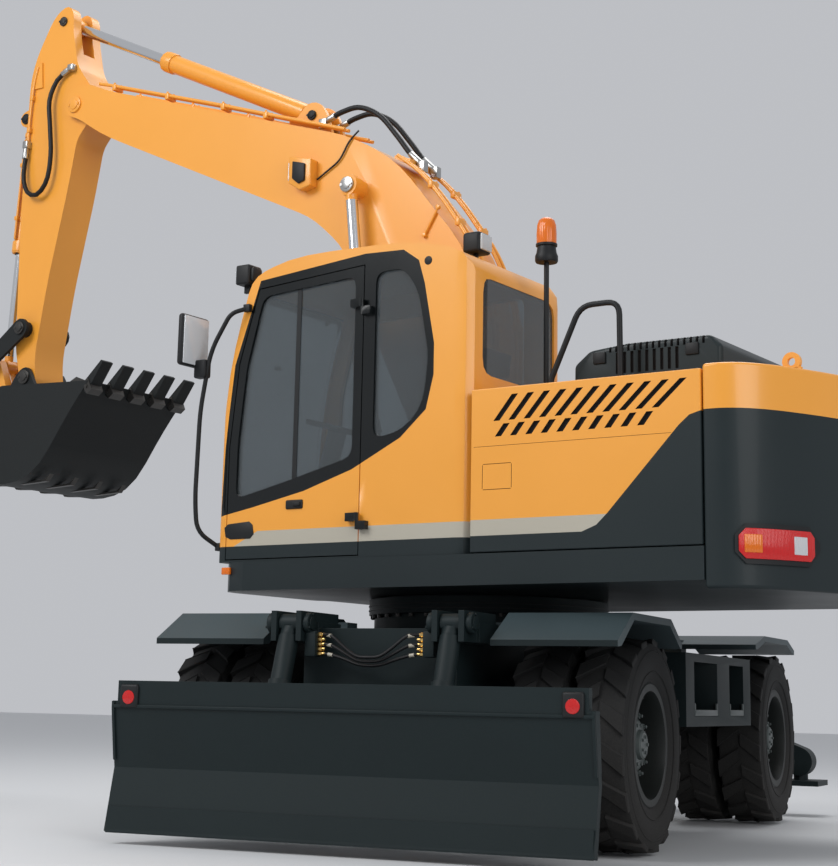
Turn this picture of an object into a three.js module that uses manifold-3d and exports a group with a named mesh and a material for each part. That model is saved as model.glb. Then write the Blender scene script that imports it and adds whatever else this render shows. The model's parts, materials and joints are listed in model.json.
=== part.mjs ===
// Wheeled excavator, built as an assembly of named solids. Millimetres, +Z up, the ground is z = 0.
// Undercarriage frame: +Y is forward (steering axle), -Y is the dozer blade, +X is the right side.
// Upper frame: the same axes, turned by swingDeg about the slewing axis, which is the Z axis.
import * as THREE from "three";
import { mergeVertices } from "three/addons/utils/BufferGeometryUtils.js";
import Module from "manifold-3d";

const wasm = await Module();
wasm.setup();

// ---------------------------------------------------------------- driving sizes
const seat = 0.3; // gap between two pieces that touch
const pinFit = 0.5; // radial gap between a pin and its bore
const roundSides = 12; // facets of a pin, eye or tube
const wheelSides = 20; // facets of a tyre, rim or hub
const cornerSteps = 3; // facets of a rounded corner
const doorGap = 6; // gap round a door or lid
const paneGap = 0.7; // gap round a window pane
const swingDeg = 80; // how far the upper is turned, as it stands

const tyreRadius = 527;
const tyreWidth = 278;
const twinGap = 44; // between the two tyres of a pair
const halfTrack = 1255; // slewing axis to the outside of the outer tyre
const rearAxleY = -930;
const wheelbase = 2810;
const frontAxleY = rearAxleY + wheelbase;
const rimRadius = 290;
const hubRadius = 150;
const spindleRadius = hubRadius - 45;

const frameHalf = 420; // half width of the chassis box
const frameLow = 640;
const frameTop = 1070;
const archTop = frameLow + 85; // top of the recess over each axle
const frameRear = -1480;
const frameWaist = 340; // half width between the steered wheels
const frameFront = frontAxleY + 1130;
const ringRadius = 690;
const deckLow = 1290; // underside of the upper's skirt
const deckTop = 1447;

const upperHalf = 1236; // half width of the upper
const deckFront = 1026;
const bayFront = -637; // where the cab ends and the side doors begin
const bayRear = -1920; // where the side doors end and the counterweight begins
const bayTop = 2285;
const panelThick = 45;
const tailRadius = 2500; // slewing axis to the back of the counterweight

const boomX = 140; // centre line of the boom, off the slewing axis
const boomHalf = 190;
const boomFoot = [150, 1850];
const armPin = [3570, 4950];
const armHalf = 140;
const armEye = [3790, 5660]; // where the arm cylinder pulls
const armLug = [1450, 4520]; // foot of the arm cylinder, on the boom
const liftEye = [960, 3900]; // where the boom cylinders push
const liftFoot = [700, 1620];
const liftX = boomHalf + 105; // boom cylinders, off the boom's centre line
const bucketPin = [3930, 2950];
const rockerPin = [3970, 3310];
const rodPin = [4300, 3080]; // rocker, link and bucket cylinder meet here
const linkPin = [4119, 2648];
const bucketLug = [4190, 4980]; // foot of the bucket cylinder, on the arm
const bucketHalf = 480;

// ---------------------------------------------------------------- materials
function paint(color, roughness, metalness) {
  return new THREE.MeshStandardMaterial({ color, roughness, metalness });
}
const yellow = paint(0xf0aa3c, 0.45, 0.0);
const dark = paint(0x22302f, 0.5, 0.1);
const steel = paint(0x2e3030, 0.6, 0.3);
const chrome = paint(0xd8d8d8, 0.15, 1.0);
const rubber = paint(0x3a3836, 0.9, 0.0);
const glass = paint(0x10181c, 0.08, 0.0);
const cloth = paint(0x4a5560, 0.9, 0.0);
const amber = paint(0xe06a10, 0.3, 0.0);
const castIron = paint(0x3b3d3d, 0.7, 0.4);

// ---------------------------------------------------------------- solid helpers
function solid(geometry) {
  const bare = geometry.clone();
  bare.deleteAttribute("normal");
  bare.deleteAttribute("uv");
  const merged = mergeVertices(bare, 1e-3);
  return new wasm.Manifold(
    new wasm.Mesh({
      numProp: 3,
      vertProperties: new Float32Array(merged.attributes.position.array),
      triVerts: new Uint32Array(merged.index.array),
    }),
  );
}

function geometryOf(made) {
  const mesh = made.getMesh();
  const geometry = new THREE.BufferGeometry();
  const points = new THREE.BufferAttribute(new Float32Array(mesh.vertProperties), 3);
  geometry.setAttribute("position", points);
  geometry.setIndex(new THREE.BufferAttribute(new Uint32Array(mesh.triVerts), 1));
  geometry.computeVertexNormals();
  return geometry;
}

const add = (...parts) => parts.reduce((sum, part) => sum.add(part));
const cut = (body, ...tools) => tools.reduce((left, tool) => left.subtract(tool), body);

function box([x0, x1], [y0, y1], [z0, z1]) {
  const geometry = new THREE.BoxGeometry(x1 - x0, y1 - y0, z1 - z0);
  return solid(geometry.translate((x0 + x1) / 2, (y0 + y1) / 2, (z0 + z1) / 2));
}

// A round bar along x, y or z, from one value to the other, about a centre given in the two other axes.
function bar(axis, [from, to], [u, v], radius, sides = roundSides, turn = 0) {
  const geometry = new THREE.CylinderGeometry(radius, radius, to - from, sides, 1, false, turn);
  const middle = (from + to) / 2;
  if (axis === "x") geometry.rotateZ(Math.PI / 2).translate(middle, u, v);
  if (axis === "y") geometry.translate(u, middle, v);
  if (axis === "z") geometry.rotateX(Math.PI / 2).translate(u, v, middle);
  return solid(geometry);
}

// A bore that a faceted pin of the given radius can turn in: its flats face the pin's corners at rest.
function boreOf(axis, span, at, radius) {
  const half = Math.PI / roundSides;
  return bar(axis, span, at, (radius + pinFit) / Math.cos(half), roundSides, half);
}

const between = (a, b) => [Math.min(a, b), Math.max(a, b)];

function shapeOf(points) {
  if (points instanceof THREE.Shape) return points;
  return new THREE.Shape(points.map((p) => new THREE.Vector2(...p)));
}

// A (y, z) outline made solid from x0 to x1.
function sideSlab(points, [x0, x1], curveSegments = cornerSteps) {
  const geometry = new THREE.ExtrudeGeometry(shapeOf(points), {
    depth: x1 - x0,
    bevelEnabled: false,
    curveSegments,
  });
  const turn = new THREE.Matrix4().makeBasis(
    new THREE.Vector3(0, 1, 0),
    new THREE.Vector3(0, 0, 1),
    new THREE.Vector3(1, 0, 0),
  );
  return solid(geometry.applyMatrix4(turn).translate(x0, 0, 0));
}

// An (x, z) outline made solid from y0 to y1.
function frontSlab(points, [y0, y1], curveSegments = cornerSteps) {
  const geometry = new THREE.ExtrudeGeometry(shapeOf(points), {
    depth: y1 - y0,
    bevelEnabled: false,
    curveSegments,
  });
  return solid(geometry.rotateX(Math.PI / 2).translate(0, y1, 0));
}

// An (x, y) outline made solid from z0 to z1.
function planSlab(points, [z0, z1], curveSegments = cornerSteps) {
  const geometry = new THREE.ExtrudeGeometry(shapeOf(points), {
    depth: z1 - z0,
    bevelEnabled: false,
    curveSegments,
  });
  return solid(geometry.translate(0, 0, z0));
}

// A polygon whose corners are rounded, each by its own radius (third value of the point).
function rounded(points) {
  const shape = new THREE.Shape();
  points.forEach(([x, y, r = 0], i) => {
    const [px, py] = points.at(i - 1);
    const [nx, ny] = points[(i + 1) % points.length];
    const before = new THREE.Vector2(px - x, py - y);
    const after = new THREE.Vector2(nx - x, ny - y);
    const a = before.setLength(Math.min(r, before.length() * 0.49)).add(new THREE.Vector2(x, y));
    const b = after.setLength(Math.min(r, after.length() * 0.49)).add(new THREE.Vector2(x, y));
    if (i === 0) shape.moveTo(a.x, a.y);
    else shape.lineTo(a.x, a.y);
    if (r > 0) shape.quadraticCurveTo(x, y, b.x, b.y);
  });
  shape.closePath();
  return shape;
}

// The same outline as a list of points, for a pane and the opening that it fills.
const outlineOf = (points) => rounded(points).getPoints(cornerSteps).slice(0, -1).map((p) => [p.x, p.y]);

// The outline of a strap round two points, with a radius at each.
function strap([ax, ay], [bx, by], ra, rb) {
  const along = Math.atan2(by - ay, bx - ax);
  const lean = Math.acos((ra - rb) / Math.hypot(bx - ax, by - ay));
  const shape = new THREE.Shape();
  shape.absarc(ax, ay, ra, along + lean, along - lean + 2 * Math.PI, false);
  shape.absarc(bx, by, rb, along - lean, along + lean, false);
  shape.closePath();
  return shape;
}

// A round bar between two points of the (y, z) plane at a given x, from one distance to another.
function inclined(x, foot, head, from, to, radius, sides = roundSides) {
  const along = new THREE.Vector2(head[0] - foot[0], head[1] - foot[1]).normalize();
  const geometry = new THREE.CylinderGeometry(radius, radius, to - from, sides);
  const middle = (from + to) / 2;
  geometry.rotateX(Math.atan2(along.y, along.x));
  return solid(geometry.translate(x, foot[0] + along.x * middle, foot[1] + along.y * middle));
}

function pathBar(points, radius, steps = 16, sides = 4) {
  const curve = new THREE.CatmullRomCurve3(points.map((p) => new THREE.Vector3(...p)), false, "centripetal");
  const round = new THREE.Shape().absarc(0, 0, radius, 0, 2 * Math.PI, false);
  const geometry = new THREE.ExtrudeGeometry(round, {
    steps,
    extrudePath: curve,
    curveSegments: sides,
    bevelEnabled: false,
  });
  return solid(geometry);
}

const far = ([ay, az], [by, bz]) => Math.hypot(by - ay, bz - az);

// A cylinder's barrel: an eye at its foot, a tube and a wider gland at its head.
function barrel({ x, foot, head, radius, length, eye, eyeHalf, eyeBore, rod, neck }) {
  const eyePiece = bar("x", [x - eyeHalf, x + eyeHalf], foot, eye);
  const stem = inclined(x, foot, head, eye * 0.6, neck + 5, eyeHalf - 3);
  const tube = inclined(x, foot, head, neck, length, radius);
  const gland = inclined(x, foot, head, length - radius * 1.4, length, radius + 9);
  const bore = inclined(x, foot, head, neck + 30, length + 10, rod + pinFit);
  const body = cut(add(eyePiece, stem, tube, gland), bore);
  return eyeBore ? cut(body, boreOf("x", [x - eyeHalf - 5, x + eyeHalf + 5], foot, eyeBore)) : body;
}

// A cylinder's rod, from inside its barrel to the eye at its end.
function rodOf({ x, foot, head, rod, inside, eye, eyeHalf }) {
  const length = far(foot, head);
  const shaft = inclined(x, foot, head, inside, length - eye * 0.5, rod);
  return add(shaft, bar("x", [x - eyeHalf, x + eyeHalf], head, eye));
}

const model = new THREE.Group();
const upper = new THREE.Group();
upper.rotation.z = THREE.MathUtils.degToRad(swingDeg);
model.add(upper);

function place(group, name, made, material) {
  const mesh = new THREE.Mesh(geometryOf(made), material);
  mesh.name = name;
  group.add(mesh);
}

// ---------------------------------------------------------------- undercarriage
const knuckleX = 560; // kingpins, off the middle
const steeredTop = 2 * tyreRadius + 10; // lowest that a fender may reach over a steered wheel
const outriggerY = frameFront - 130;

function chassisFrame() {
  const rails = box([-frameHalf, frameHalf], [frameRear, frameFront], [frameLow, frameTop]);
  const arches = [rearAxleY, frontAxleY].map((y) =>
    box([-frameHalf - 10, frameHalf + 10], [y - 205, y + 205], [0, archTop]),
  );
  const waist = [-1, 1].map((side) =>
    box(
      between(side * frameWaist, side * (frameHalf + 10)),
      [frontAxleY - 580, frontAxleY + 580],
      [frameLow - 10, frameTop + 10],
    ),
  );
  const nose = box([-560, 560], [outriggerY - 130, outriggerY + 130], [560, 980]);
  const hollow = box(
    [-frameHalf + 60, frameHalf - 60],
    [rearAxleY + 300, frontAxleY - 700],
    [frameLow - 10, frameTop - 60],
  );
  const bladeLugs = [-1, 1].flatMap((side) => [
    box([side * bladeArmX - 90, side * bladeArmX - 62], [bladePivot[0] - 90, frameRear + 200], [500, 740]),
    box([side * bladeArmX + 62, side * bladeArmX + 90], [bladePivot[0] - 90, frameRear + 200], [500, 740]),
    bar("x", [side * bladeArmX - 90, side * bladeArmX + 90], bladePivot, 30),
  ]);
  const bosses = [-1, 1].flatMap((side) => [
    box([side * liftBladeX - 85, side * liftBladeX - 55], [bladeTop[0] - 60, frameRear + 250], [1000, 1150]),
    box([side * liftBladeX + 55, side * liftBladeX + 85], [bladeTop[0] - 60, frameRear + 250], [1000, 1150]),
    bar("x", [side * liftBladeX - 100, side * liftBladeX + 100], bladeTop, 28),
    box([side * liftBladeX - 100, side * liftBladeX + 100], [frameRear - 5, frameRear + 250], [1000, 1100]),
  ]);
  const legPins = [-1, 1].flatMap((side) => [
    bar("y", [outriggerY - 135, outriggerY + 135], [side * legPivot[0], legPivot[1]], 34),
    box([side * 480 - 90, side * 480 + 90], [outriggerY - 130, outriggerY - 90], [560, 1060]),
    box([side * 480 - 90, side * 480 + 90], [outriggerY + 90, outriggerY + 130], [560, 1060]),
    bar("y", [outriggerY - 125, outriggerY + 125], [side * jackTop[0], jackTop[1]], 28),
  ]);
  const legRoom = [-1, 1].map((side) =>
    box([side * 480 - 130, side * 480 + 130], [outriggerY - 90, outriggerY + 90], [500, 1000]),
  );
  const body = cut(rails, ...arches, hollow, ...waist);
  return add(body, cut(nose, ...legRoom), ...bladeLugs, ...bosses, ...legPins);
}

function slewRing() {
  const drum = bar("z", [frameTop + seat, frameTop + 120], [0, 0], ringRadius - 30, 28);
  const race = bar("z", [frameTop + 120, deckLow - 8], [0, 0], ringRadius, 28);
  return add(drum, race);
}

function axleBeam(y, half) {
  const beam = bar("x", [-half, half], [y, tyreRadius], 85);
  const bowl = bar("y", [y - 190, y + 190], [0, tyreRadius], 190);
  const seats = [-1, 1].map((side) =>
    box([side * 300 - 70, side * 300 + 70], [y - 75, y + 75], [tyreRadius, archTop - seat]),
  );
  return add(beam, bowl, ...seats);
}

function rearAxle() {
  const inner = halfTrack - 2 * tyreWidth - twinGap - 20;
  const hubs = [-1, 1].map((side) => {
    const span = between(side * (inner - 60), side * (halfTrack - 180));
    return bar("x", span, [rearAxleY, tyreRadius], spindleRadius, wheelSides, Math.PI / wheelSides);
  });
  return add(axleBeam(rearAxleY, inner), ...hubs);
}

function frontAxle() {
  const fork = (side) => between(side * (knuckleX - 65), side * (knuckleX + 45));
  const ends = [-1, 1].flatMap((side) => [
    box(fork(side), [frontAxleY - 45, frontAxleY + 45], [tyreRadius + 95, tyreRadius + 130]),
    box(fork(side), [frontAxleY - 45, frontAxleY + 45], [tyreRadius - 130, tyreRadius - 95]),
    box(
      [side * (knuckleX - 110) - 50, side * (knuckleX - 110) + 50],
      [frontAxleY - 45, frontAxleY + 45],
      [tyreRadius - 130, tyreRadius + 130],
    ),
    bar("z", [tyreRadius - 130, tyreRadius - 60], [side * knuckleX, frontAxleY], 28),
    bar("z", [tyreRadius + 60, tyreRadius + 130], [side * knuckleX, frontAxleY], 28),
  ]);
  return add(axleBeam(frontAxleY, knuckleX - 110), ...ends);
}

function knuckle(side) {
  const hub = bar("z", [tyreRadius - 90, tyreRadius + 90], [side * knuckleX, frontAxleY], 50);
  const reach = between(side * (knuckleX + 20), side * (knuckleX + 80));
  const neck = bar("x", reach, [frontAxleY, tyreRadius], 62);
  const ends = between(side * (knuckleX + 75), side * (halfTrack - 180));
  const spindle = bar("x", ends, [frontAxleY, tyreRadius], spindleRadius, wheelSides, Math.PI / wheelSides);
  const arm = box(
    [side * knuckleX - 22, side * knuckleX + 22],
    [frontAxleY - 200, frontAxleY - 40],
    [tyreRadius - 60, tyreRadius - 20],
  );
  const bore = boreOf("z", [tyreRadius - 140, tyreRadius + 140], [side * knuckleX, frontAxleY], 28);
  return cut(add(hub, neck, spindle, arm), bore);
}

// Rim pair: an outer and an inner rim drum on one disc, bored for the hub.
function rimSolid(side, y) {
  const out = tyreWidth + twinGap / 2;
  const rim = rimRadius;
  // its flats clear the spindle's corners
  const bore = (spindleRadius + pinFit) / Math.cos(Math.PI / wheelSides);
  // radius, distance outward from the middle of the pair
  const outline = [
    [bore, -60],
    [hubRadius + 20, -60],
    [hubRadius + 20, 20],
    [rim - 28, 20],
    [rim - 28, -out + 20],
    [rim + 20, -out + 14],
    [rim + 2, -out + 40],
    [rim + 2, out - 40],
    [rim + 20, out - 14],
    [rim - 28, out - 20],
    [rim - 28, 60],
    [hubRadius, 60],
    [hubRadius, out - 60],
    [bore, out - 60],
    [bore, -60],
  ];
  const lathe = new THREE.LatheGeometry(outline.map(([r, h]) => new THREE.Vector2(r, h)), wheelSides);
  lathe.rotateZ(side > 0 ? -Math.PI / 2 : Math.PI / 2);
  const middle = side * (halfTrack - out);
  return solid(lathe.translate(middle, y, tyreRadius));
}

// Twin tyres with the spacer ring between them, one body.
function tyrePair(side, y) {
  const out = tyreWidth + twinGap / 2;
  const bead = rimRadius + 2 + seat;
  const flank = (inner, outer) => [
    [bead, inner + 42],
    [rimRadius + 110, inner],
    [tyreRadius, inner + 36],
    [tyreRadius, outer - 36],
    [rimRadius + 110, outer],
    [bead, outer - 42],
  ];
  const spacer = [
    [bead, -twinGap / 2 - 60],
    [bead + 70, -twinGap / 2 - 60],
    [bead + 70, twinGap / 2 + 60],
    [bead, twinGap / 2 + 60],
  ];
  const turned = (points) => {
    const closed = [...points, points[0]].map(([r, h]) => new THREE.Vector2(r, h));
    const lathe = new THREE.LatheGeometry(closed, wheelSides);
    return solid(lathe.rotateZ(side > 0 ? -Math.PI / 2 : Math.PI / 2));
  };
  const pair = add(turned(flank(-out, -twinGap / 2)), turned(flank(twinGap / 2, out)), turned(spacer));
  return pair.translate([side * (halfTrack - out), y, tyreRadius]);
}

// Step box between the wheels with the front and rear fenders that it carries.
function stepAndFenders(side) {
  const [x0, x1] = side > 0 ? [frameHalf + seat, halfTrack - 25] : [-halfTrack + 25, -frameHalf - seat];
  const stepBox = planSlab(
    [
      [frameHalf + seat, -250],
      [halfTrack - 25, -250],
      [halfTrack - 25, 1220],
      [1100, 1120],
      [930, 1030],
      [frameHalf + seat, 1030],
    ].map(([x, y]) => [side * x, y]),
    [610, 1000],
  );
  const outside = side > 0 ? [x1 - 200, x1 + 10] : [x0 - 10, x0 + 200];
  const treads = [
    box(outside, [-80, 420], [665, 955]),
    box(outside, [700, 1040], [665, 955]),
  ];
  const cover = (y, rearEnd, frontEnd) => {
    const outline = [
      [y - 620, rearEnd],
      [y - 560, rearEnd + 5],
      [y - 350, 1120],
      [y + 280, 1120],
      [y + 470, frontEnd],
      [y + 500, frontEnd],
      [y + 500, frontEnd + 30],
      [y + 300, 1155],
      [y - 370, 1155],
      [y - 620, rearEnd + 30],
    ];
    return sideSlab(outline, side > 0 ? [620, halfTrack + 5] : [-halfTrack - 5, -620]);
  };
  const carriers = [rearAxleY, frontAxleY].map((y) => {
    const inner = (y === frontAxleY ? frameWaist : frameHalf) + seat;
    const span = side > 0 ? [inner, 640] : [-640, -inner];
    return box(span, [y - 60, y + 60], [1050, 1122]);
  });
  const link = side > 0 ? [700, 780] : [-780, -700];
  const spine = box(link, [rearAxleY, frontAxleY], [1085, 1122]);
  const post = box(link, [200, 700], [990, 1090]);
  const covers = [cover(rearAxleY, 985, 1010), cover(frontAxleY, steeredTop, steeredTop)];
  return add(cut(stepBox, ...treads), ...covers, ...carriers, spine, post);
}

function driveline() {
  const gearbox = box([-190, 190], [200, 640], [330, frameLow - 60]);
  const hanger = box([-240, 240], [300, 540], [frameLow - 80, frameTop - 60 - seat]);
  const rearShaft = bar("y", [rearAxleY + 190 + seat, 210], [0, tyreRadius - 60], 45);
  const frontShaft = bar("y", [630, frontAxleY - 190 - seat], [0, tyreRadius - 60], 45);
  return add(gearbox, hanger, rearShaft, frontShaft);
}

// ---------------------------------------------------------------- blade
const bladeArmX = 300;
const bladePivot = [-1560, 600];
const liftBladeX = 440;
const bladeTop = [-1590, 1090]; // upper pins of the blade cylinders
const bladeEye = [-1782, 520]; // lower pins, on the blade
const bladeHalf = 1270;
const bladeFace = -1916;

function dozerBlade() {
  const back = 45;
  const outline = [
    [bladeFace, 790],
    [bladeFace, 660],
    [bladeFace + 46, 365],
    [bladeFace - 20, 58],
    [bladeFace - 20 + back, 50],
    [bladeFace + 46 + back, 365],
    [bladeFace + back, 665],
    [bladeFace + back, 790],
  ];
  // The face's upper edge stops short of the plate's ends.
  const relief = [-1, 1].map((side) => {
    const span = between(side * (bladeHalf - 30), side * (bladeHalf + 5));
    return box(span, [bladeFace - 10, bladeFace + 60], [690, 800]);
  });
  const plate = cut(sideSlab(outline, [-bladeHalf, bladeHalf]), ...relief);
  const inFront = sideSlab(
    [
      [bladeFace - 100, 20],
      [bladeFace - 15, 20],
      [bladeFace - 15, 58],
      [bladeFace + 51, 365],
      [bladeFace + 5, 660],
      [bladeFace + 5, 800],
      [bladeFace - 100, 800],
    ],
    [-bladeHalf, bladeHalf],
  );
  const rib = box([-bladeHalf + 80, bladeHalf - 80], [bladeFace + 40, bladeFace + 130], [320, 445]);
  const arms = [-1, 1].map((side) => {
    const shape = strap(bladePivot, [bladeFace + 110, 400], 75, 95);
    return sideSlab(shape, [side * bladeArmX - 55, side * bladeArmX + 55]);
  });
  const bores = [-1, 1].map((side) =>
    boreOf("x", [side * bladeArmX - 60, side * bladeArmX + 60], bladePivot, 30),
  );
  const lugs = [-1, 1].flatMap((side) =>
    [-1, 1].map((cheek) => {
      const inner = side * liftBladeX + cheek * 60;
      const span = between(inner, inner + cheek * 25);
      const shape = strap(bladeEye, [bladeFace + 90, 430], 50, 70);
      return sideSlab(shape, span);
    }),
  );
  const behind = cut(add(rib, ...arms, ...lugs), inFront);
  return cut(add(plate, behind), ...bores);
}

function bladeCylinder(side) {
  return {
    x: side * liftBladeX,
    foot: bladeTop,
    head: bladeEye,
    radius: 52,
    length: 380,
    eye: 46,
    eyeHalf: 50,
    eyeBore: 28,
    rod: 28,
    inside: 230,
    neck: 70,
  };
}

// ---------------------------------------------------------------- outriggers
const legPivot = [520, 640];
const legFoot = [1180, 360];
const jackTop = [500, 960];
const jackEye = [900, 640];

function outriggerLeg(side) {
  const mirror = (p) => [side * p[0], p[1]];
  const shape = strap(mirror(legPivot), mirror(legFoot), 75, 95);
  const beam = frontSlab(shape, [outriggerY - 80, outriggerY + 80], 8);
  const pad = box(
    [side * legFoot[0] - 150, side * legFoot[0] + 150],
    [outriggerY - 170, outriggerY + 170],
    [200, 235],
  );
  const stem = bar("z", [225, legFoot[1]], [side * legFoot[0], outriggerY], 50);
  const lugShape = strap(mirror(jackEye), mirror([900, 520]), 42, 70);
  const lugs = [-1, 1].map((cheek) => {
    const inner = outriggerY + cheek * 45;
    return frontSlab(lugShape, between(inner, inner + cheek * 25));
  });
  const bore = boreOf("y", [outriggerY - 90, outriggerY + 90], mirror(legPivot), 34);
  return add(cut(add(beam, stem, pad), bore), ...lugs);
}

// The jack lies in an (x, z) plane: it is built in the (y, z) plane about x = 0, then turned.
function turnToFront(made, side) {
  const turned = made.rotate([0, 0, side > 0 ? -90 : 90]);
  return turned.translate([0, outriggerY, 0]);
}

const jack = {
  x: 0,
  foot: jackTop,
  head: jackEye,
  radius: 46,
  length: 340,
  eye: 42,
  eyeHalf: 38,
  eyeBore: 28,
  rod: 25,
  inside: 205,
  neck: 60,
};

// ---------------------------------------------------------------- upper: frame, counterweight, bay
const bracketIn = boomHalf + 10;
const bracketOut = boomHalf + 36;

function turntableFrame() {
  const outline = rounded([
    [-upperHalf, bayRear + seat * 2, 0],
    [upperHalf, bayRear + seat * 2, 0],
    [upperHalf, deckFront - 40, 220],
    [560, deckFront, 60],
    [boomX + liftX + 85, deckFront - 60, 60],
    [boomX - liftX - 115, deckFront - 60, 60],
    [-300, deckFront, 60],
    [-upperHalf, deckFront, 200],
  ]);
  const deck = planSlab(outline, [deckLow, deckTop]);
  const turntable = bar("z", [deckLow - 8 + seat, deckLow + 20], [0, 0], ringRadius - 60, 28);
  const cheek = [
    [bayFront + 20, deckTop - 10],
    [830, deckTop - 10],
    [800, 1700],
    [560, 1790],
    [330, 1980],
    [30, 1990],
    [bayFront + 20, 1560],
  ];
  const cheeks = [-1, 1].map((side) => {
    const span = between(boomX + side * bracketIn, boomX + side * bracketOut);
    const plate = sideSlab(cheek, span);
    return cut(plate, boreOf("x", [span[0] - 5, span[1] + 5], liftFoot, 40));
  });
  const footPin = bar("x", [boomX - bracketOut, boomX + bracketOut], boomFoot, 45);
  return add(deck, turntable, ...cheeks, footPin);
}

function counterweight() {
  const outline = new THREE.Shape();
  outline.moveTo(-upperHalf, bayRear - seat);
  outline.lineTo(-upperHalf, bayRear - 60);
  outline.quadraticCurveTo(-upperHalf + 10, bayRear - 210, -upperHalf + 260, bayRear - 330);
  outline.quadraticCurveTo(-500, -tailRadius + 10, 0, -tailRadius);
  outline.quadraticCurveTo(500, -tailRadius + 10, upperHalf - 260, bayRear - 330);
  outline.quadraticCurveTo(upperHalf - 10, bayRear - 210, upperHalf, bayRear - 60);
  outline.lineTo(upperHalf, bayRear - seat);
  outline.closePath();
  const body = planSlab(outline, [deckLow - 40, bayTop + 20], 10);
  return body;
}

function engineBayFrame() {
  const inset = upperHalf - panelThick - doorGap;
  const shell = box([-inset, inset], [bayRear + seat, bayFront - seat], [deckTop + seat, bayTop]);
  const room = box([-inset - 5, inset + 5], [bayRear + 110, bayFront - 110], [deckTop - 5, bayTop - 60]);
  const hoodHole = box(
    [-hoodHalf + 80, hoodHalf - 80],
    [bayRear + 110, hoodFront - 80],
    [bayTop - 100, bayTop + 10],
  );
  const hingePads = [-1, 1].flatMap((side) =>
    hingeHeights.map((z) =>
      box(
        between(side * (inset - 10), side * (inset + doorGap - seat)),
        [bayRear + 30, bayRear + 100],
        [z - 60, z + 60],
      ),
    ),
  );
  const lidPads = [-1, 1].map((side) =>
    box([side * 700 - 80, side * 700 + 80], [hoodRear + 2, hoodRear + 40], [bayTop - 20, hoodLow - seat]),
  );
  return add(cut(shell, room, hoodHole), ...hingePads, ...lidPads);
}

const hingeHeights = [deckTop + 180, bayTop - 180];
const hoodLow = bayTop + 21;
const hoodHalf = 986;
const hoodFront = -1100;
const hoodRear = bayRear + 6;
const hoodTop = 2500;

function engineHood() {
  const side = [
    [hoodRear, hoodLow],
    [hoodFront, hoodLow],
    [hoodFront, hoodTop - 90],
    [hoodFront - 90, hoodTop - 20],
    [hoodFront - 300, hoodTop],
    [hoodRear + 60, hoodTop],
    [hoodRear, hoodTop - 60],
  ];
  const outer = sideSlab(side, [-hoodHalf, hoodHalf]);
  const wall = 40;
  const inner = side.map(([y, z]) => [
    Math.min(Math.max(y, hoodRear + wall), hoodFront - wall),
    z > bayTop + 30 ? z - wall : z - 10,
  ]);
  const room = sideSlab(inner, [-hoodHalf + wall, hoodHalf - wall]);
  return cut(outer, room);
}

function sideDoor(side) {
  const outer = side * upperHalf;
  const span = between(outer, outer - side * panelThick);
  return box(span, [bayRear + doorGap, bayFront - doorGap], [deckTop + doorGap, bayTop - 2]);
}

function engineBlock() {
  return box([-560, 620], [bayRear + 220, bayRear + 900], [deckTop + seat, 2050]);
}

function tankBlock() {
  const outline = rounded([
    [bayFront + 6, deckTop + seat, 0],
    [960, deckTop + seat, 0],
    [960, 1900, 60],
    [640, 2000, 60],
    [560, 2260, 60],
    [bayFront + 6, 2280, 20],
  ]);
  const body = sideSlab(outline, [570, upperHalf - 4]);
  const step = box([900, upperHalf + 10], [620, 980], [1700, 2300]);
  return cut(body, step);
}

// ---------------------------------------------------------------- cab
const cabLeft = -1216;
const cabRight = -290;
const cabWall = 50;
const cabFloor = deckTop + seat;
const hingeY = 62; // rear edge of the cab door
const hingeX = cabLeft - 26;
const cabHinges = [1640, 2800];

const cabSide = [
  [bayFront + 8, cabFloor, 0],
  [1040, cabFloor, 20],
  [1040, 2090, 260],
  [985, 2590, 300],
  [850, 3060, 90],
  [560, 3150, 260],
  [-250, 3135, 240],
  [bayFront + 8, 3030, 160],
];

function insetProfile(points, by) {
  const shape = rounded(points).getPoints(6);
  const centre = new THREE.Vector2(200, 2300);
  const half = new THREE.Vector2(840, 850);
  return shape.map((p) => [
    centre.x + (p.x - centre.x) * (1 - by / half.x),
    centre.y + (p.y - centre.y) * (1 - by / half.y),
  ]);
}

function cabBody() {
  const plan = rounded([
    [cabLeft, bayFront + 8, 100],
    [cabRight, bayFront + 8, 40],
    [cabRight, 1045, 60],
    [cabLeft, 1045, 60],
  ]);
  const outer = sideSlab(rounded(cabSide), [cabLeft, cabRight]).intersect(planSlab(plan, [cabFloor, 3200]));
  const innerPlan = rounded([
    [cabLeft + cabWall, bayFront + 8 + cabWall, 60],
    [cabRight - cabWall, bayFront + 8 + cabWall, 20],
    [cabRight - cabWall, 1045 - cabWall, 30],
    [cabLeft + cabWall, 1045 - cabWall, 30],
  ]);
  const room = sideSlab(insetProfile(cabSide, cabWall + 5), [cabLeft, cabRight]).intersect(
    planSlab(innerPlan, [cabFloor + cabWall + 12, 3200]),
  );
  return cut(outer, room);
}

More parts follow.
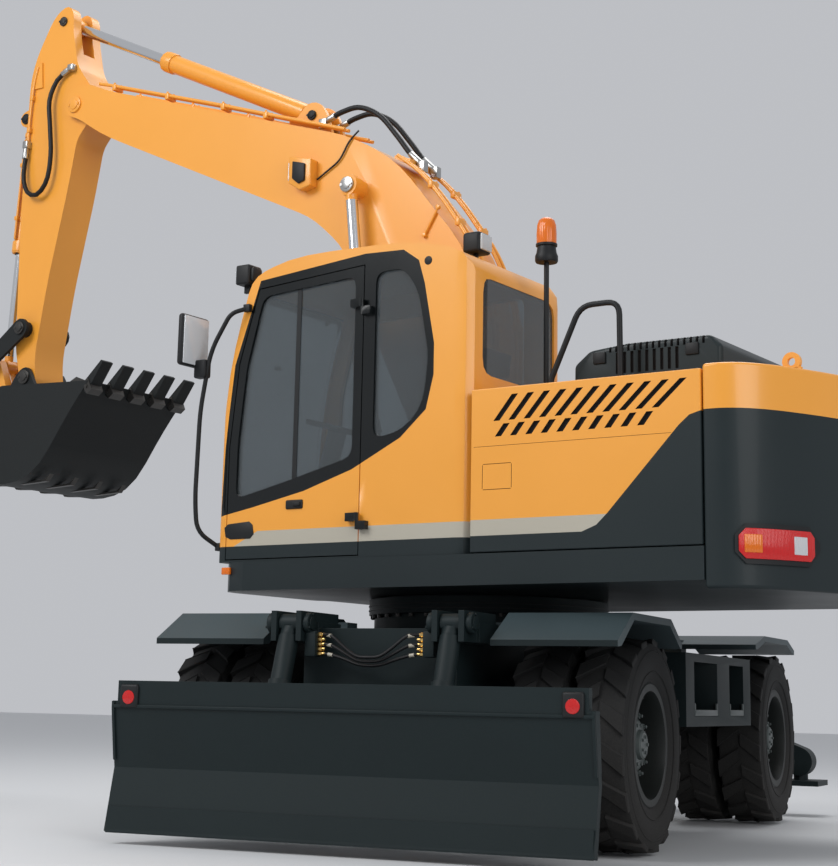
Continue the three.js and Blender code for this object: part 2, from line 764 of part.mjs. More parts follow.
const doorKink = 2090; // where its front edge starts to lean back
const doorOutline = [
  [hingeY, cabFloor + 12],
  [975, cabFloor + 12],
  [975, doorKink],
  [925, 2570],
  [800, 2990],
  [hingeY, 3040],
];
const doorPane = outlineOf([
  [hingeY + 60, 1990, 60],
  [560, 1880, 60],
  [915, 1800, 60],
  [915, 2110, 60],
  [870, 2540, 60],
  [765, 2940, 60],
  [hingeY + 60, 2980, 60],
]);
const quarterPane = outlineOf([
  [-12, 2080, 60],
  [-12, 2985, 60],
  [-190, 2990, 60],
  [-290, 2860, 80],
  [-360, 2500, 60],
  [-330, 2220, 120],
  [-180, 2100, 80],
]);
const rearPane = outlineOf([
  [-1110, 2390, 90],
  [-355, 2390, 90],
  [-355, 2915, 90],
  [-1110, 2915, 90],
]);
const rightPane = outlineOf([
  [-420, 1950, 60],
  [880, 1800, 60],
  [860, 2500, 60],
  [760, 2940, 60],
  [-420, 2980, 60],
]);
const frontPane = outlineOf([
  [-1140, 1560, 60],
  [-370, 1560, 60],
  [-370, 2960, 60],
  [-1140, 2960, 60],
]);

// An outline drawn in towards its middle by the pane's gap.
function shrink(points, by) {
  const middle = [0, 1].map((k) => points.reduce((sum, p) => sum + p[k], 0) / points.length);
  return points.map((p) => {
    const away = Math.hypot(p[0] - middle[0], p[1] - middle[1]);
    return p.map((value, k) => middle[k] + (value - middle[k]) * (1 - by / away));
  });
}

const leftWall = [cabLeft - 40, cabLeft + cabWall + 30];

// Hinge knuckles of the cab door: the shell carries the lower half of each, the door the upper half.
function hingeHalves(low, high, [y0, y1]) {
  return cabHinges.map((z) =>
    add(
      bar("z", [z + low, z + high], [hingeX, hingeY], 13),
      box([hingeX - 8, cabLeft + 12], [hingeY + y0, hingeY + y1], [z + low, z + high]),
    ),
  );
}

function cabShell(body) {
  const doorHole = sideSlab(doorOutline, leftWall);
  return cut(
    add(body, ...hingeHalves(-45, -seat / 2, [-60, -seat])),
    doorHole,
    sideSlab(quarterPane, leftWall),
    sideSlab(rightPane, [cabRight - cabWall - 30, cabRight + 10]),
    frontSlab(rearPane, [bayFront - 10, bayFront + 90]),
    frontSlab(frontPane, [700, 1200]),
  );
}

function cabDoor(body) {
  const level = (z) => (z < 2000 ? z + doorGap : z - doorGap);
  const outline = doorOutline.map(([y, z]) => [
    y < 500 ? y + doorGap : y - doorGap,
    z === doorKink ? z : level(z),
  ]);
  const region = sideSlab(outline, [cabLeft - 40, cabLeft + cabWall]);
  const leaf = cut(body.intersect(region), sideSlab(doorPane, leftWall));
  return add(leaf, ...hingeHalves(seat / 2, 45, [seat, 70]));
}

function pane(shape, [x0, x1]) {
  return sideSlab(shrink(shape, paneGap), [x0, x1]);
}

function windshield(body) {
  const region = frontSlab(shrink(frontPane, paneGap), [700, 1200]);
  return body.intersect(region);
}

function operatorSeat() {
  const x = (cabLeft + cabRight) / 2;
  const base = box([x - 190, x + 190], [-330, 90], [cabInside, cabInside + 300]);
  const cushion = box([x - 240, x + 240], [-370, 160], [cabInside + 300, cabInside + 430]);
  const back = sideSlab(
    rounded([
      [-400, cabInside + 330, 40],
      [-270, cabInside + 330, 40],
      [-350, cabInside + 1080, 50],
      [-470, cabInside + 1080, 50],
    ]),
    [x - 230, x + 230],
  );
  return add(base, cushion, back);
}

const cabInside = cabFloor + cabWall + 12 + seat;

function steeringConsole() {
  const x = (cabLeft + cabRight) / 2;
  const column = inclined(x, [760, cabInside], [560, cabInside + 720], 40, 745, 55);
  const foot = box([x - 110, x + 110], [660, 860], [cabInside, cabInside + 70]);
  const wheel = inclined(x, [760, cabInside], [560, cabInside + 720], 735, 765, 190);
  return add(column, foot, wheel);
}

function leftMirror() {
  const x = cabLeft - 95;
  const upperPad = box([cabLeft - 30, cabLeft - seat], [846, 890], [2860, 2904]);
  const lowerPad = box([cabLeft + 26, cabLeft + 70], [1040 + seat, 1075], [1518, 1562]);
  const rail = pathBar(
    [
      [cabLeft - 12, 868, 2882],
      [x + 20, 940, 2850],
      [x, 1060, 2640],
      [x, 1120, 2300],
      [x, 1130, 1800],
      [x + 20, 1125, 1620],
      [cabLeft + 48, 1064, 1540],
    ],
    16,
  );
  const head = box([x - 150, x + 92], [1150, 1195], [2545, 2850]);
  const clamp = box([x - 40, x + 40], [1070, 1160], [2480, 2600]);
  return add(rail, upperPad, lowerPad, clamp, head);
}

function beacon() {
  const at = [-760, -810];
  const stalk = bar("z", [bayTop + seat, 3060], at, 18, 16);
  const base = bar("z", [3040, 3130], at, 62);
  const dome = bar("z", [3130, 3290], at, 55);
  return add(stalk, base, dome);
}

// Its front leg leans back, and its rear leg stands upright.
function deckHandrail() {
  const x = -upperHalf + 156;
  return pathBar(
    [
      [x, -1022, bayTop + seat],
      [x, -1022, 2330],
      [x, -1070, 2430],
      [x, -1165, 2640],
      [x, -1215, 2690],
      [x, -1290, 2700],
      [x, -1365, 2690],
      [x, -1410, 2640],
      [x, -1415, 2500],
      [x, -1415, bayTop + seat],
    ],
    15,
    32,
  );
}

// ---------------------------------------------------------------- boom, arm, bucket
const onBoom = (from, to) => [boomX + from, boomX + to];

function boom() {
  const outline = rounded([
    [60, 1780, 80],
    [260, 1780, 90],
    [830, 2960, 200],
    [1085, 3540, 120],
    [1340, 3770, 120],
    [2240, 4190, 200],
    [3260, 4660, 200],
    [3520, 4830, 60],
    [3690, 4900, 90],
    [3640, 5080, 90],
    [3460, 5095, 80],
    [3240, 4995, 100],
    [2160, 4640, 200],
    [1070, 4285, 160],
    [690, 4060, 200],
    [390, 3690, 200],
    [150, 3400, 300],
    [20, 2900, 300],
    [30, 1980, 100],
  ]);
  const beam = sideSlab(outline, onBoom(-boomHalf, boomHalf));
  const fork = bar("x", onBoom(-armHalf - 8, armHalf + 8), armPin, 310, 20);
  const footHole = boreOf("x", onBoom(-boomHalf - 5, boomHalf + 5), boomFoot, 45);
  const pins = [
    bar("x", onBoom(-boomHalf, boomHalf), armPin, 45),
    bar("x", onBoom(-boomHalf - 66, boomHalf + 66), liftEye, 62),
    bar("x", onBoom(-80, 80), armLug, 35),
  ];
  const lug = rounded([
    [1270, 4330, 0],
    [1330, 4520, 60],
    [1400, 4610, 60],
    [1510, 4610, 60],
    [1570, 4520, 60],
    [1720, 4470, 60],
    [1720, 4450, 0],
  ]);
  const lugs = [-1, 1].map((side) => sideSlab(lug, onBoom(...between(side * 54, side * 82))));
  return add(cut(beam, fork, footHole), ...pins, ...lugs);
}

function arm() {
  const outline = rounded([
    [3690, 5590, 60],
    [3620, 5280, 80],
    [3445, 5060, 60],
    [3445, 4850, 60],
    [3580, 4700, 60],
    [3640, 4340, 200],
    [3790, 3670, 200],
    [3880, 3100, 100],
    [3850, 2890, 60],
    [3930, 2860, 60],
    [4010, 2900, 60],
    [4080, 3180, 60],
    [4120, 4160, 200],
    [4105, 5260, 100],
    [4050, 5440, 100],
    [3890, 5720, 90],
    [3760, 5790, 80],
    [3690, 5720, 60],
  ]);
  const beam = sideSlab(outline, onBoom(-armHalf, armHalf));
  const slot = bar("x", onBoom(-58, 58), armEye, 300, 20);
  const bores = [
    boreOf("x", onBoom(-armHalf - 5, armHalf + 5), armPin, 45),
    boreOf("x", onBoom(-armHalf - 5, armHalf + 5), bucketPin, 38),
    boreOf("x", onBoom(-armHalf - 5, armHalf + 5), rockerPin, 34),
  ];
  const lug = strap(bucketLug, [4060, 4980], 62, 90);
  const lugs = [-1, 1].map((side) => sideSlab(lug, onBoom(...between(side * 54, side * 82))));
  const lugPin = bar("x", onBoom(-82, 82), bucketLug, 32);
  return add(cut(beam, slot, ...bores), ...lugs, lugPin);
}

const liftCylinder = (side) => ({
  x: boomX + side * liftX,
  foot: liftFoot,
  head: liftEye,
  radius: 60,
  length: 1450,
  eye: 72,
  eyeHalf: 36,
  eyeBore: 0,
  rod: 38,
  inside: 1080,
  neck: 90,
});
const armCylinder = {
  x: boomX,
  foot: armLug,
  head: armEye,
  radius: 66,
  length: 1560,
  eye: 66,
  eyeHalf: 48,
  eyeBore: 35,
  rod: 40,
  inside: 1000,
  neck: 120,
};
const bucketCylinder = {
  x: boomX,
  foot: bucketLug,
  head: rodPin,
  radius: 54,
  length: 1030,
  eye: 56,
  eyeHalf: 46,
  eyeBore: 32,
  rod: 33,
  inside: 730,
  neck: 90,
};

function liftBarrels() {
  const pin = bar("x", onBoom(-liftX, liftX), liftFoot, 40);
  return add(barrel(liftCylinder(-1)), barrel(liftCylinder(1)), pin);
}

function rockerLinks() {
  const shape = strap(rockerPin, rodPin, 72, 62);
  const plates = [-1, 1].map((side) => sideSlab(shape, onBoom(...between(side * 190, side * 216))));
  const pin = bar("x", onBoom(-216, 216), rockerPin, 34);
  const collars = [-1, 1].map((side) => bar("x", onBoom(...between(side * 144, side * 192)), rockerPin, 58));
  const stubs = [-1, 1].map((side) => bar("x", onBoom(...between(side * 58, side * 192)), rodPin, 30));
  return add(...plates, pin, ...collars, ...stubs);
}

function bucketLink() {
  const shape = strap(rodPin, linkPin, 56, 60);
  const cheeks = [-1, 1].map((side) => sideSlab(shape, onBoom(...between(side * 64, side * 132))));
  const bores = [-1, 1].map((side) =>
    boreOf("x", onBoom(...between(side * 55, side * 140)), rodPin, 30),
  );
  const cross = bar("x", onBoom(-70, 70), linkPin, 50);
  return add(cut(add(...cheeks), ...bores), cross);
}

const bucketWall = 32;

// A coordinate moved in by the bucket's wall: up if it is below low, down if it is above high.
function drawnIn(value, low, high) {
  if (value < low) return value + bucketWall;
  return value > high ? value - bucketWall : value;
}

function bucket() {
  const back = [
    [2985, 2795, 0],
    [3180, 2560, 300],
    [3440, 2180, 300],
    [3780, 2110, 300],
    [4080, 2180, 260],
    [4150, 2410, 120],
    [3850, 2830, 30],
  ];
  const outer = rounded(back);
  const inner = rounded(
    back.map(([y, z, r]) => [drawnIn(y, 3500, 4000), z > 2820 ? z + 60 : drawnIn(z, 2400, Infinity), r]),
  );
  const block = sideSlab(outer, onBoom(-bucketHalf, bucketHalf));
  const room = sideSlab(inner, onBoom(-bucketHalf + 26, bucketHalf - 26));
  const mouth = sideSlab(
    [
      [3010, 2815],
      [3100, 2730],
      [3700, 2640],
      [3840, 2895],
      [3700, 3100],
      [3000, 3000],
    ],
    onBoom(-bucketHalf + 26, bucketHalf - 26),
  );
  const ear = rounded([
    [3760, 2800, 0],
    [3850, 2930, 60],
    [3900, 3035, 70],
    [4000, 3000, 70],
    [4180, 2720, 70],
    [4190, 2560, 40],
    [4100, 2390, 0],
  ]);
  const ears = [-1, 1].map((side) => sideSlab(ear, onBoom(...between(side * 148, side * 180))));
  const pin = bar("x", onBoom(-180, 180), bucketPin, 38);
  const pitch = (2 * bucketHalf - 120) / 4;
  const teeth = [-2, -1, 0, 1, 2].map((i) => {
    const shape = rounded([
      [3070, 2760, 0],
      [3010, 2710, 0],
      [2868, 2918, 0],
      [2885, 2930, 0],
    ]);
    return sideSlab(shape, onBoom(i * pitch - 50, i * pitch + 50));
  });
  return add(cut(block, room, mouth), ...ears, pin, ...teeth);
}

// ---------------------------------------------------------------- assembly
place(model, "chassis_frame", chassisFrame(), yellow);
place(model, "slew_ring", slewRing(), steel);
place(model, "rear_axle", rearAxle(), castIron);
place(model, "front_axle", frontAxle(), castIron);
place(model, "driveline", driveline(), castIron);
for (const [side, hand] of [[-1, "left"], [1, "right"]]) {
  place(model, `${hand}_step_and_fenders`, stepAndFenders(side), dark);
  place(model, `${hand}_knuckle`, knuckle(side), castIron);
  for (const [y, end] of [[rearAxleY, "rear"], [frontAxleY, "front"]]) {
    place(model, `${end}_${hand}_rims`, rimSolid(side, y), dark);
    place(model, `${end}_${hand}_tyres`, tyrePair(side, y), rubber);
  }
  place(model, `blade_${hand}_barrel`, barrel(bladeCylinder(side)), yellow);
  place(model, `blade_${hand}_rod`, rodOf(bladeCylinder(side)), chrome);
  place(model, `outrigger_${hand}_leg`, outriggerLeg(side), yellow);
  place(model, `outrigger_${hand}_barrel`, turnToFront(barrel(jack), side), yellow);
  place(model, `outrigger_${hand}_rod`, turnToFront(rodOf(jack), side), chrome);
}
place(model, "dozer_blade", dozerBlade(), dark);

const cab = cabBody();
place(upper, "turntable_frame", turntableFrame(), dark);
place(upper, "counterweight", counterweight(), dark);
place(upper, "engine_bay_frame", engineBayFrame(), yellow);
place(upper, "engine_hood", engineHood(), dark);
place(upper, "left_side_door", sideDoor(-1), yellow);
place(upper, "right_side_door", sideDoor(1), yellow);
place(upper, "engine_block", engineBlock(), castIron);
place(upper, "tank_block", tankBlock(), yellow);
place(upper, "cab_shell", cabShell(cab), yellow);
place(upper, "cab_door", cabDoor(cab), yellow);
place(upper, "door_window", pane(doorPane, [cabLeft + 14, cabLeft + 22]), glass);
place(upper, "quarter_window", pane(quarterPane, [cabLeft + 14, cabLeft + 22]), glass);
place(upper, "right_window", pane(rightPane, [cabRight - 22, cabRight - 14]), glass);
place(upper, "rear_window", frontSlab(shrink(rearPane, paneGap), [bayFront + 20, bayFront + 28]), glass);
place(upper, "windshield", windshield(cab), glass);
place(upper, "operator_seat", operatorSeat(), cloth);
place(upper, "steering_console", steeringConsole(), steel);
place(upper, "left_mirror", leftMirror(), steel);
place(upper, "beacon", beacon(), amber);
place(upper, "deck_handrail", deckHandrail(), steel);
place(upper, "boom", boom(), yellow);
place(upper, "boom_cylinder_barrels", liftBarrels(), yellow);
place(upper, "boom_left_rod", rodOf(liftCylinder(-1)), chrome);
place(upper, "boom_right_rod", rodOf(liftCylinder(1)), chrome);
place(upper, "arm", arm(), yellow);
place(upper, "arm_cylinder_barrel", barrel(armCylinder), yellow);
place(upper, "arm_cylinder_rod", rodOf(armCylinder), chrome);
place(upper, "bucket_cylinder_barrel", barrel(bucketCylinder), yellow);
place(upper, "bucket_cylinder_rod", rodOf(bucketCylinder), chrome);
place(upper, "rocker_links", rockerLinks(), steel);
place(upper, "bucket_link", bucketLink(), steel);
place(upper, "bucket", bucket(), dark);

// The origin is on the ground, in the middle of the whole machine's footprint.
const bounds = new THREE.Box3().setFromObject(model, true);
const middle = bounds.getCenter(new THREE.Vector3());
model.position.set(-middle.x, -middle.y, -bounds.min.z);

export default model;
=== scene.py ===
"""Wheeled excavator: the finished surfaces, trim, tyres, lamps, lines and hoses round the fixed frame."""

import json
import math

import bmesh
import bpy
from mathutils import Matrix, Vector


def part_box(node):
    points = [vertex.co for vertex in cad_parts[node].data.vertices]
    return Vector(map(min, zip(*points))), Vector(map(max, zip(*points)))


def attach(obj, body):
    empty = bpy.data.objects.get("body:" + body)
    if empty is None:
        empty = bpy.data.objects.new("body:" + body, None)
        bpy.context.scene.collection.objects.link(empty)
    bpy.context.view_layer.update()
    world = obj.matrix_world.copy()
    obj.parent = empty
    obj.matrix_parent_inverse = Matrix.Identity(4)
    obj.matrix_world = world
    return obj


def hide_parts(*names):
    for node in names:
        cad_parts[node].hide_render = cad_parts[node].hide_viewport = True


bl_info = {
    "name": "Wheeled Excavator Finish",
    "version": (1, 0, 0),
    "blender": (4, 5, 0),
    "location": "3D View > Sidebar > Excavator",
    "description": "Surfaces, tyres, trim, lamps and hoses of a wheeled excavator",
    "category": "Object",
}

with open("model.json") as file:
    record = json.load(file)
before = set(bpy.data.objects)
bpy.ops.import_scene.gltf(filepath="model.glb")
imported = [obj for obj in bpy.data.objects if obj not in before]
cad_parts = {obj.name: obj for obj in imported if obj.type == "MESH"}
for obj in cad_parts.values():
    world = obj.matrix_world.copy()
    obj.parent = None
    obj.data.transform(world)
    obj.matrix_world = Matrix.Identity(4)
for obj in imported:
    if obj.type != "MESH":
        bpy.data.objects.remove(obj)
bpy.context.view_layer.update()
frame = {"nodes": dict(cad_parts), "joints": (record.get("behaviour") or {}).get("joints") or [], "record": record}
JOINTS = {joint["name"]: joint for joint in frame["joints"]}

# The upper's own frame: +X to its right, +Y towards the boom, turned about the slewing axis.
SLEW = Vector(JOINTS["swing"]["pos_m"])
ACROSS = Vector(JOINTS["boom_lift"]["axis"])
SLEW_FOOT = Vector((SLEW.x, SLEW.y, 0.0))
TURN = math.atan2(ACROSS.y, ACROSS.x)
UPPER = Matrix.Translation(SLEW_FOOT) @ Matrix.Rotation(TURN, 4, "Z")
LOWER = Matrix.Translation(SLEW_FOOT)
BOOM_X = (UPPER.inverted() @ Vector(JOINTS["boom_lift"]["pos_m"])).x
UPPER_TRIM = ("upper", "black_trim", "trim")
WINDOWS = ("door_window", "quarter_window", "right_window", "rear_window", "windshield")
TYRE_WIDTH = 0.278
BLADE_HOSE = 0.016
ARM_HOSE = 0.034
TAIL_BORDER = 2.085  # the counterweight is yellow above this height

# Pins of the boom group, along and above, in the upper's own frame.
BOOM_FOOT = (0.15, 1.85)
LIFT_FOOT = (0.70, 1.62)
LIFT_EYE = (0.96, 3.90)
ARM_FOOT = (1.45, 4.52)
ARM_EYE = (3.79, 5.66)
ARM_PIN = (3.57, 4.95)
BUCKET_FOOT = (4.19, 4.98)
BUCKET_PIN = (3.93, 2.95)
ROCKER_PIN = (3.97, 3.31)
ROD_PIN = (4.30, 3.08)
LIFT_OUT = 0.295  # each boom cylinder, off the boom's centre line


def local(point, place=UPPER):
    """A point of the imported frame, in the frame that a piece is modelled in."""
    return place.inverted() @ Vector(point)


def corners(node, place=UPPER):
    """Lowest and highest corner of a CAD node, measured in a piece's own frame."""
    back = place.inverted()
    points = [back @ v.co for v in frame["nodes"][node].data.vertices]
    low = Vector([min(p[i] for p in points) for i in range(3)])
    high = Vector([max(p[i] for p in points) for i in range(3)])
    return low, high


# ---------------------------------------------------------------- materials
def paint(
    name, color, roughness=0.4, metallic=0.0, coat=0.0, speckle=0.03, bump=0.02, scale=60.0, dust=0.0,
    shine=0.5,
):
    """A paint, plastic or metal with a slight change of tone, a fine grain and dust low down."""
    material = bpy.data.materials.new(name)
    material.use_nodes = True
    tree = material.node_tree
    shader = tree.nodes["Principled BSDF"]
    shader.inputs["Metallic"].default_value = metallic
    shader.inputs["Coat Weight"].default_value = coat
    shader.inputs["Coat Roughness"].default_value = 0.12
    shader.inputs["Specular IOR Level"].default_value = shine
    place = tree.nodes.new("ShaderNodeTexCoord")
    cloud = tree.nodes.new("ShaderNodeTexNoise")
    cloud.inputs["Scale"].default_value = 1.7
    cloud.inputs["Detail"].default_value = 6.0
    grain = tree.nodes.new("ShaderNodeTexNoise")
    grain.inputs["Scale"].default_value = scale
    grain.inputs["Detail"].default_value = 3.0
    for texture in (cloud, grain):
        tree.links.new(place.outputs["Object"], texture.inputs["Vector"])
    tone = tree.nodes.new("ShaderNodeMix")
    tone.data_type = "RGBA"
    tone.inputs[6].default_value = tuple(c * (1 - 2 * speckle) for c in color) + (1,)
    tone.inputs[7].default_value = tuple(min(1, c * (1 + 2 * speckle)) for c in color) + (1,)
    tree.links.new(cloud.outputs["Fac"], tone.inputs[0])
    last = tone.outputs[2]
    if dust:
        split = tree.nodes.new("ShaderNodeSeparateXYZ")
        tree.links.new(place.outputs["Object"], split.inputs[0])
        height = tree.nodes.new("ShaderNodeMapRange")
        height.inputs["From Min"].default_value = 1.3
        height.inputs["From Max"].default_value = 0.0
        height.inputs["To Max"].default_value = dust
        tree.links.new(split.outputs["Z"], height.inputs["Value"])
        patch = tree.nodes.new("ShaderNodeMath")
        patch.operation = "MULTIPLY"
        tree.links.new(height.outputs[0], patch.inputs[0])
        tree.links.new(grain.outputs["Fac"], patch.inputs[1])
        dusty = tree.nodes.new("ShaderNodeMix")
        dusty.data_type = "RGBA"
        dusty.inputs[7].default_value = (0.21, 0.18, 0.15, 1)
        tree.links.new(patch.outputs[0], dusty.inputs[0])
        tree.links.new(last, dusty.inputs[6])
        last = dusty.outputs[2]
    tree.links.new(last, shader.inputs["Base Color"])
    rough = tree.nodes.new("ShaderNodeMapRange")
    rough.inputs["To Min"].default_value = max(0.02, roughness - 0.08)
    rough.inputs["To Max"].default_value = min(1.0, roughness + 0.08)
    tree.links.new(cloud.outputs["Fac"], rough.inputs["Value"])
    tree.links.new(rough.outputs[0], shader.inputs["Roughness"])
    relief = tree.nodes.new("ShaderNodeBump")
    relief.inputs["Strength"].default_value = 0.5
    relief.inputs["Distance"].default_value = bump / scale
    tree.links.new(grain.outputs["Fac"], relief.inputs["Height"])
    tree.links.new(relief.outputs["Normal"], shader.inputs["Normal"])
    return material


def lens(name, color, roughness=0.08, transmission=0.0, ior=1.49, ribs=0.0):
    """Clear or coloured lamp glass, or a window pane."""
    material = bpy.data.materials.new(name)
    material.use_nodes = True
    tree = material.node_tree
    shader = tree.nodes["Principled BSDF"]
    shader.inputs["Roughness"].default_value = roughness
    shader.inputs["Transmission Weight"].default_value = transmission
    shader.inputs["IOR"].default_value = ior
    place = tree.nodes.new("ShaderNodeTexCoord")
    cloud = tree.nodes.new("ShaderNodeTexNoise")
    cloud.inputs["Scale"].default_value = 2.5
    tree.links.new(place.outputs["Object"], cloud.inputs["Vector"])
    tone = tree.nodes.new("ShaderNodeMix")
    tone.data_type = "RGBA"
    tone.inputs[6].default_value = tuple(0.92 * c for c in color) + (1,)
    tone.inputs[7].default_value = tuple(color) + (1,)
    tree.links.new(cloud.outputs["Fac"], tone.inputs[0])
    tree.links.new(tone.outputs[2], shader.inputs["Base Color"])
    if ribs:
        wave = tree.nodes.new("ShaderNodeTexWave")
        wave.inputs["Scale"].default_value = ribs
        tree.links.new(place.outputs["Object"], wave.inputs["Vector"])
        relief = tree.nodes.new("ShaderNodeBump")
        relief.inputs["Strength"].default_value = 0.4
        relief.inputs["Distance"].default_value = 0.002
        tree.links.new(wave.outputs["Fac"], relief.inputs["Height"])
        tree.links.new(relief.outputs["Normal"], shader.inputs["Normal"])
    return material


def weave(name, color):
    """Woven seat cloth, with threads both ways and a little sheen."""
    material = bpy.data.materials.new(name)
    material.use_nodes = True
    tree = material.node_tree
    shader = tree.nodes["Principled BSDF"]
    shader.inputs["Roughness"].default_value = 0.85
    shader.inputs["Sheen Weight"].default_value = 0.3
    place = tree.nodes.new("ShaderNodeTexCoord")
    threads = []
    for direction in ("X", "Z"):
        wave = tree.nodes.new("ShaderNodeTexWave")
        wave.bands_direction = direction
        wave.inputs["Scale"].default_value = 160.0
        wave.inputs["Distortion"].default_value = 0.6
        tree.links.new(place.outputs["Object"], wave.inputs["Vector"])
        threads.append(wave)
    cross = tree.nodes.new("ShaderNodeMath")
    cross.operation = "MULTIPLY"
    for i, wave in enumerate(threads):
        tree.links.new(wave.outputs["Fac"], cross.inputs[i])
    tone = tree.nodes.new("ShaderNodeMix")
    tone.data_type = "RGBA"
    tone.inputs[6].default_value = tuple(0.6 * c for c in color) + (1,)
    tone.inputs[7].default_value = tuple(1.3 * c for c in color) + (1,)
    tree.links.new(cross.outputs[0], tone.inputs[0])
    tree.links.new(tone.outputs[2], shader.inputs["Base Color"])
    relief = tree.nodes.new("ShaderNodeBump")
    relief.inputs["Strength"].default_value = 0.5
    relief.inputs["Distance"].default_value = 0.001
    tree.links.new(cross.outputs[0], relief.inputs["Height"])
    tree.links.new(relief.outputs["Normal"], shader.inputs["Normal"])
    return material


def floor_finish(name, color):
    """Plain pale studio surface that shows its colour to the camera and to reflections."""
    material = bpy.data.materials.new(name)
    material.use_nodes = True
    shader = material.node_tree.nodes["Principled BSDF"]
    shader.inputs["Base Color"].default_value = tuple(color) + (1,)
    shader.inputs["Roughness"].default_value = 0.75
    return material


FINISH = {}


def mix_finishes(settings):
    """All the machine's finishes, from the colours on the panel."""
    yellow = tuple(settings.body_color)
    green = tuple(settings.frame_color)
    FINISH.update(
        yellow=paint("body_paint", yellow, 0.34, coat=0.25, speckle=0.02, bump=0.012, scale=240),
        green=paint("frame_paint", green, 0.46, coat=0.06, speckle=0.05, bump=0.02, scale=200, dust=0.05, shine=0.22),
        stripe=paint("stripe_paint", (0.41, 0.38, 0.31), 0.42, coat=0.15, bump=0.01, scale=240),
        fender=paint(
            "fender_paint", (0.042, 0.064, 0.072), 0.5, speckle=0.12, bump=0.06, scale=130, dust=0.35,
            shine=0.3,
        ),
        rim=paint(
            "wheel_paint", (0.009, 0.012, 0.012), 0.5, speckle=0.08, bump=0.04, scale=120, dust=0.08,
            shine=0.25,
        ),
        hub=paint("hub_paint", (0.062, 0.078, 0.078), 0.42, speckle=0.08, bump=0.04, scale=140, dust=0.2, shine=0.35),
        chassis=paint(
            "chassis_paint", (0.0075, 0.0145, 0.0160), 0.55, speckle=0.1, bump=0.05, scale=90, dust=0.02,
            shine=0.22,
        ),
        casting=paint(
            "cast_iron", (0.010, 0.012, 0.0125), 0.6, speckle=0.12, bump=0.1, scale=70, dust=0.1, shine=0.25,
        ),
        tyre=paint(
            "tyre_rubber", tuple(settings.tyre_color), 0.82, speckle=0.12, bump=0.12, scale=120, dust=0.16,
            shine=0.2,
        ),
        trim=paint("black_trim", (0.008, 0.009, 0.010), 0.52, bump=0.05, scale=260, shine=0.3),
        gloss_black=paint("black_surround", (0.004, 0.0055, 0.006), 0.2, coat=0.15, bump=0.002, scale=200, shine=0.3),
        slot_dark=paint("vent_shadow", (0.004, 0.003, 0.003), 0.9),
        chrome=paint("hard_chrome", (0.72, 0.73, 0.74), 0.12, metallic=1.0, speckle=0.01, bump=0.002, scale=300),
        steel=paint("bright_steel", (0.45, 0.45, 0.44), 0.3, metallic=1.0, speckle=0.05, bump=0.02, scale=200),
        brass=paint("brass_fitting", (0.62, 0.43, 0.16), 0.28, metallic=1.0, speckle=0.08, bump=0.02, scale=300),
        worn=paint(
            "worn_edge", (0.05, 0.048, 0.045), 0.45, metallic=0.6, speckle=0.25, bump=0.08, scale=60, dust=0.1,
        ),
        hose=paint("hose_rubber", (0.006, 0.006, 0.007), 0.5, bump=0.04, scale=400, shine=0.3),
        glass=lens("window_glass", (0.30, 0.34, 0.36), 0.02, transmission=0.85, ior=1.45),
        # mirror: a pale grey colour on a non-metal surface, a painted reflection of bright surroundings
        mirror=paint("mirror_painted_reflection", (0.62, 0.64, 0.66), 0.12, coat=0.3, speckle=0.01, bump=0.0005, scale=50),
        amber=lens("amber_lens", (0.90, 0.20, 0.01), 0.1, transmission=0.25, ribs=30),
        red=lens("red_lens", (0.55, 0.012, 0.012), 0.15, ribs=60),
        clear=lens("clear_lens", (0.75, 0.78, 0.80), 0.05, transmission=0.3, ribs=40),
        cloth=weave("seat_cloth", (0.035, 0.045, 0.06)),
    )


# ---------------------------------------------------------------- modelling
def ease(bm, edges, offset, segments):
    """Rounds edges off, and gives back the corners of the rounding."""
    done = bmesh.ops.bevel(
        bm, geom=edges, offset=offset, segments=segments, profile=0.5, affect="EDGES", material=-1
    )
    return done["verts"]


def block(bm, low, high, bevel=0.0, segments=2):
    """A box between two corners, with rounded edges."""
    low, high = Vector(low), Vector(high)
    verts = bmesh.ops.create_cube(bm, size=1.0)["verts"]
    bmesh.ops.scale(bm, vec=high - low, verts=verts)
    bmesh.ops.translate(bm, vec=(high + low) / 2, verts=verts)
    if bevel:
        edges = list({e for v in verts for e in v.link_edges})
        verts = ease(bm, edges, bevel, segments)
    return verts


def round_bar(bm, start, end, radius, sides=32, end_radius=None, bevel=0.0):
    """A round bar or cone between two points."""
    start, end = Vector(start), Vector(end)
    along = end - start
    verts = bmesh.ops.create_cone(
        bm,
        cap_ends=True,
        segments=sides,
        radius1=radius,
        radius2=radius if end_radius is None else end_radius,
        depth=along.length,
    )["verts"]
    if bevel:
        rims = list({e for v in verts for e in v.link_edges if abs(e.verts[0].co.z - e.verts[1].co.z) < 1e-6})
        verts = ease(bm, rims, bevel, 2)
        verts = list({v for v in verts} | {v for w in verts for e in w.link_edges for v in e.verts})
    turn = along.to_track_quat("Z", "Y").to_matrix().to_4x4()
    bmesh.ops.transform(bm, matrix=Matrix.Translation((start + end) / 2) @ turn, verts=verts)
    return verts


def slab(bm, outline, axis, low, high):
    """An outline in the plane square to an axis, made solid between two values on it."""
    spot = {"x": (1, 2, 0), "y": (0, 2, 1), "z": (0, 1, 2)}[axis]
    verts = []
    for u, v in outline:
        point = [0.0, 0.0, 0.0]
        point[spot[0]], point[spot[1]], point[spot[2]] = u, v, low
        verts.append(bm.verts.new(point))
    face = bm.faces.new(verts)
    moved = bmesh.ops.extrude_face_region(bm, geom=[face])["geom"]
    raised = [g for g in moved if isinstance(g, bmesh.types.BMVert)]
    shift = [0.0, 0.0, 0.0]
    shift[spot[2]] = high - low
    bmesh.ops.translate(bm, vec=shift, verts=raised)
    return verts + raised


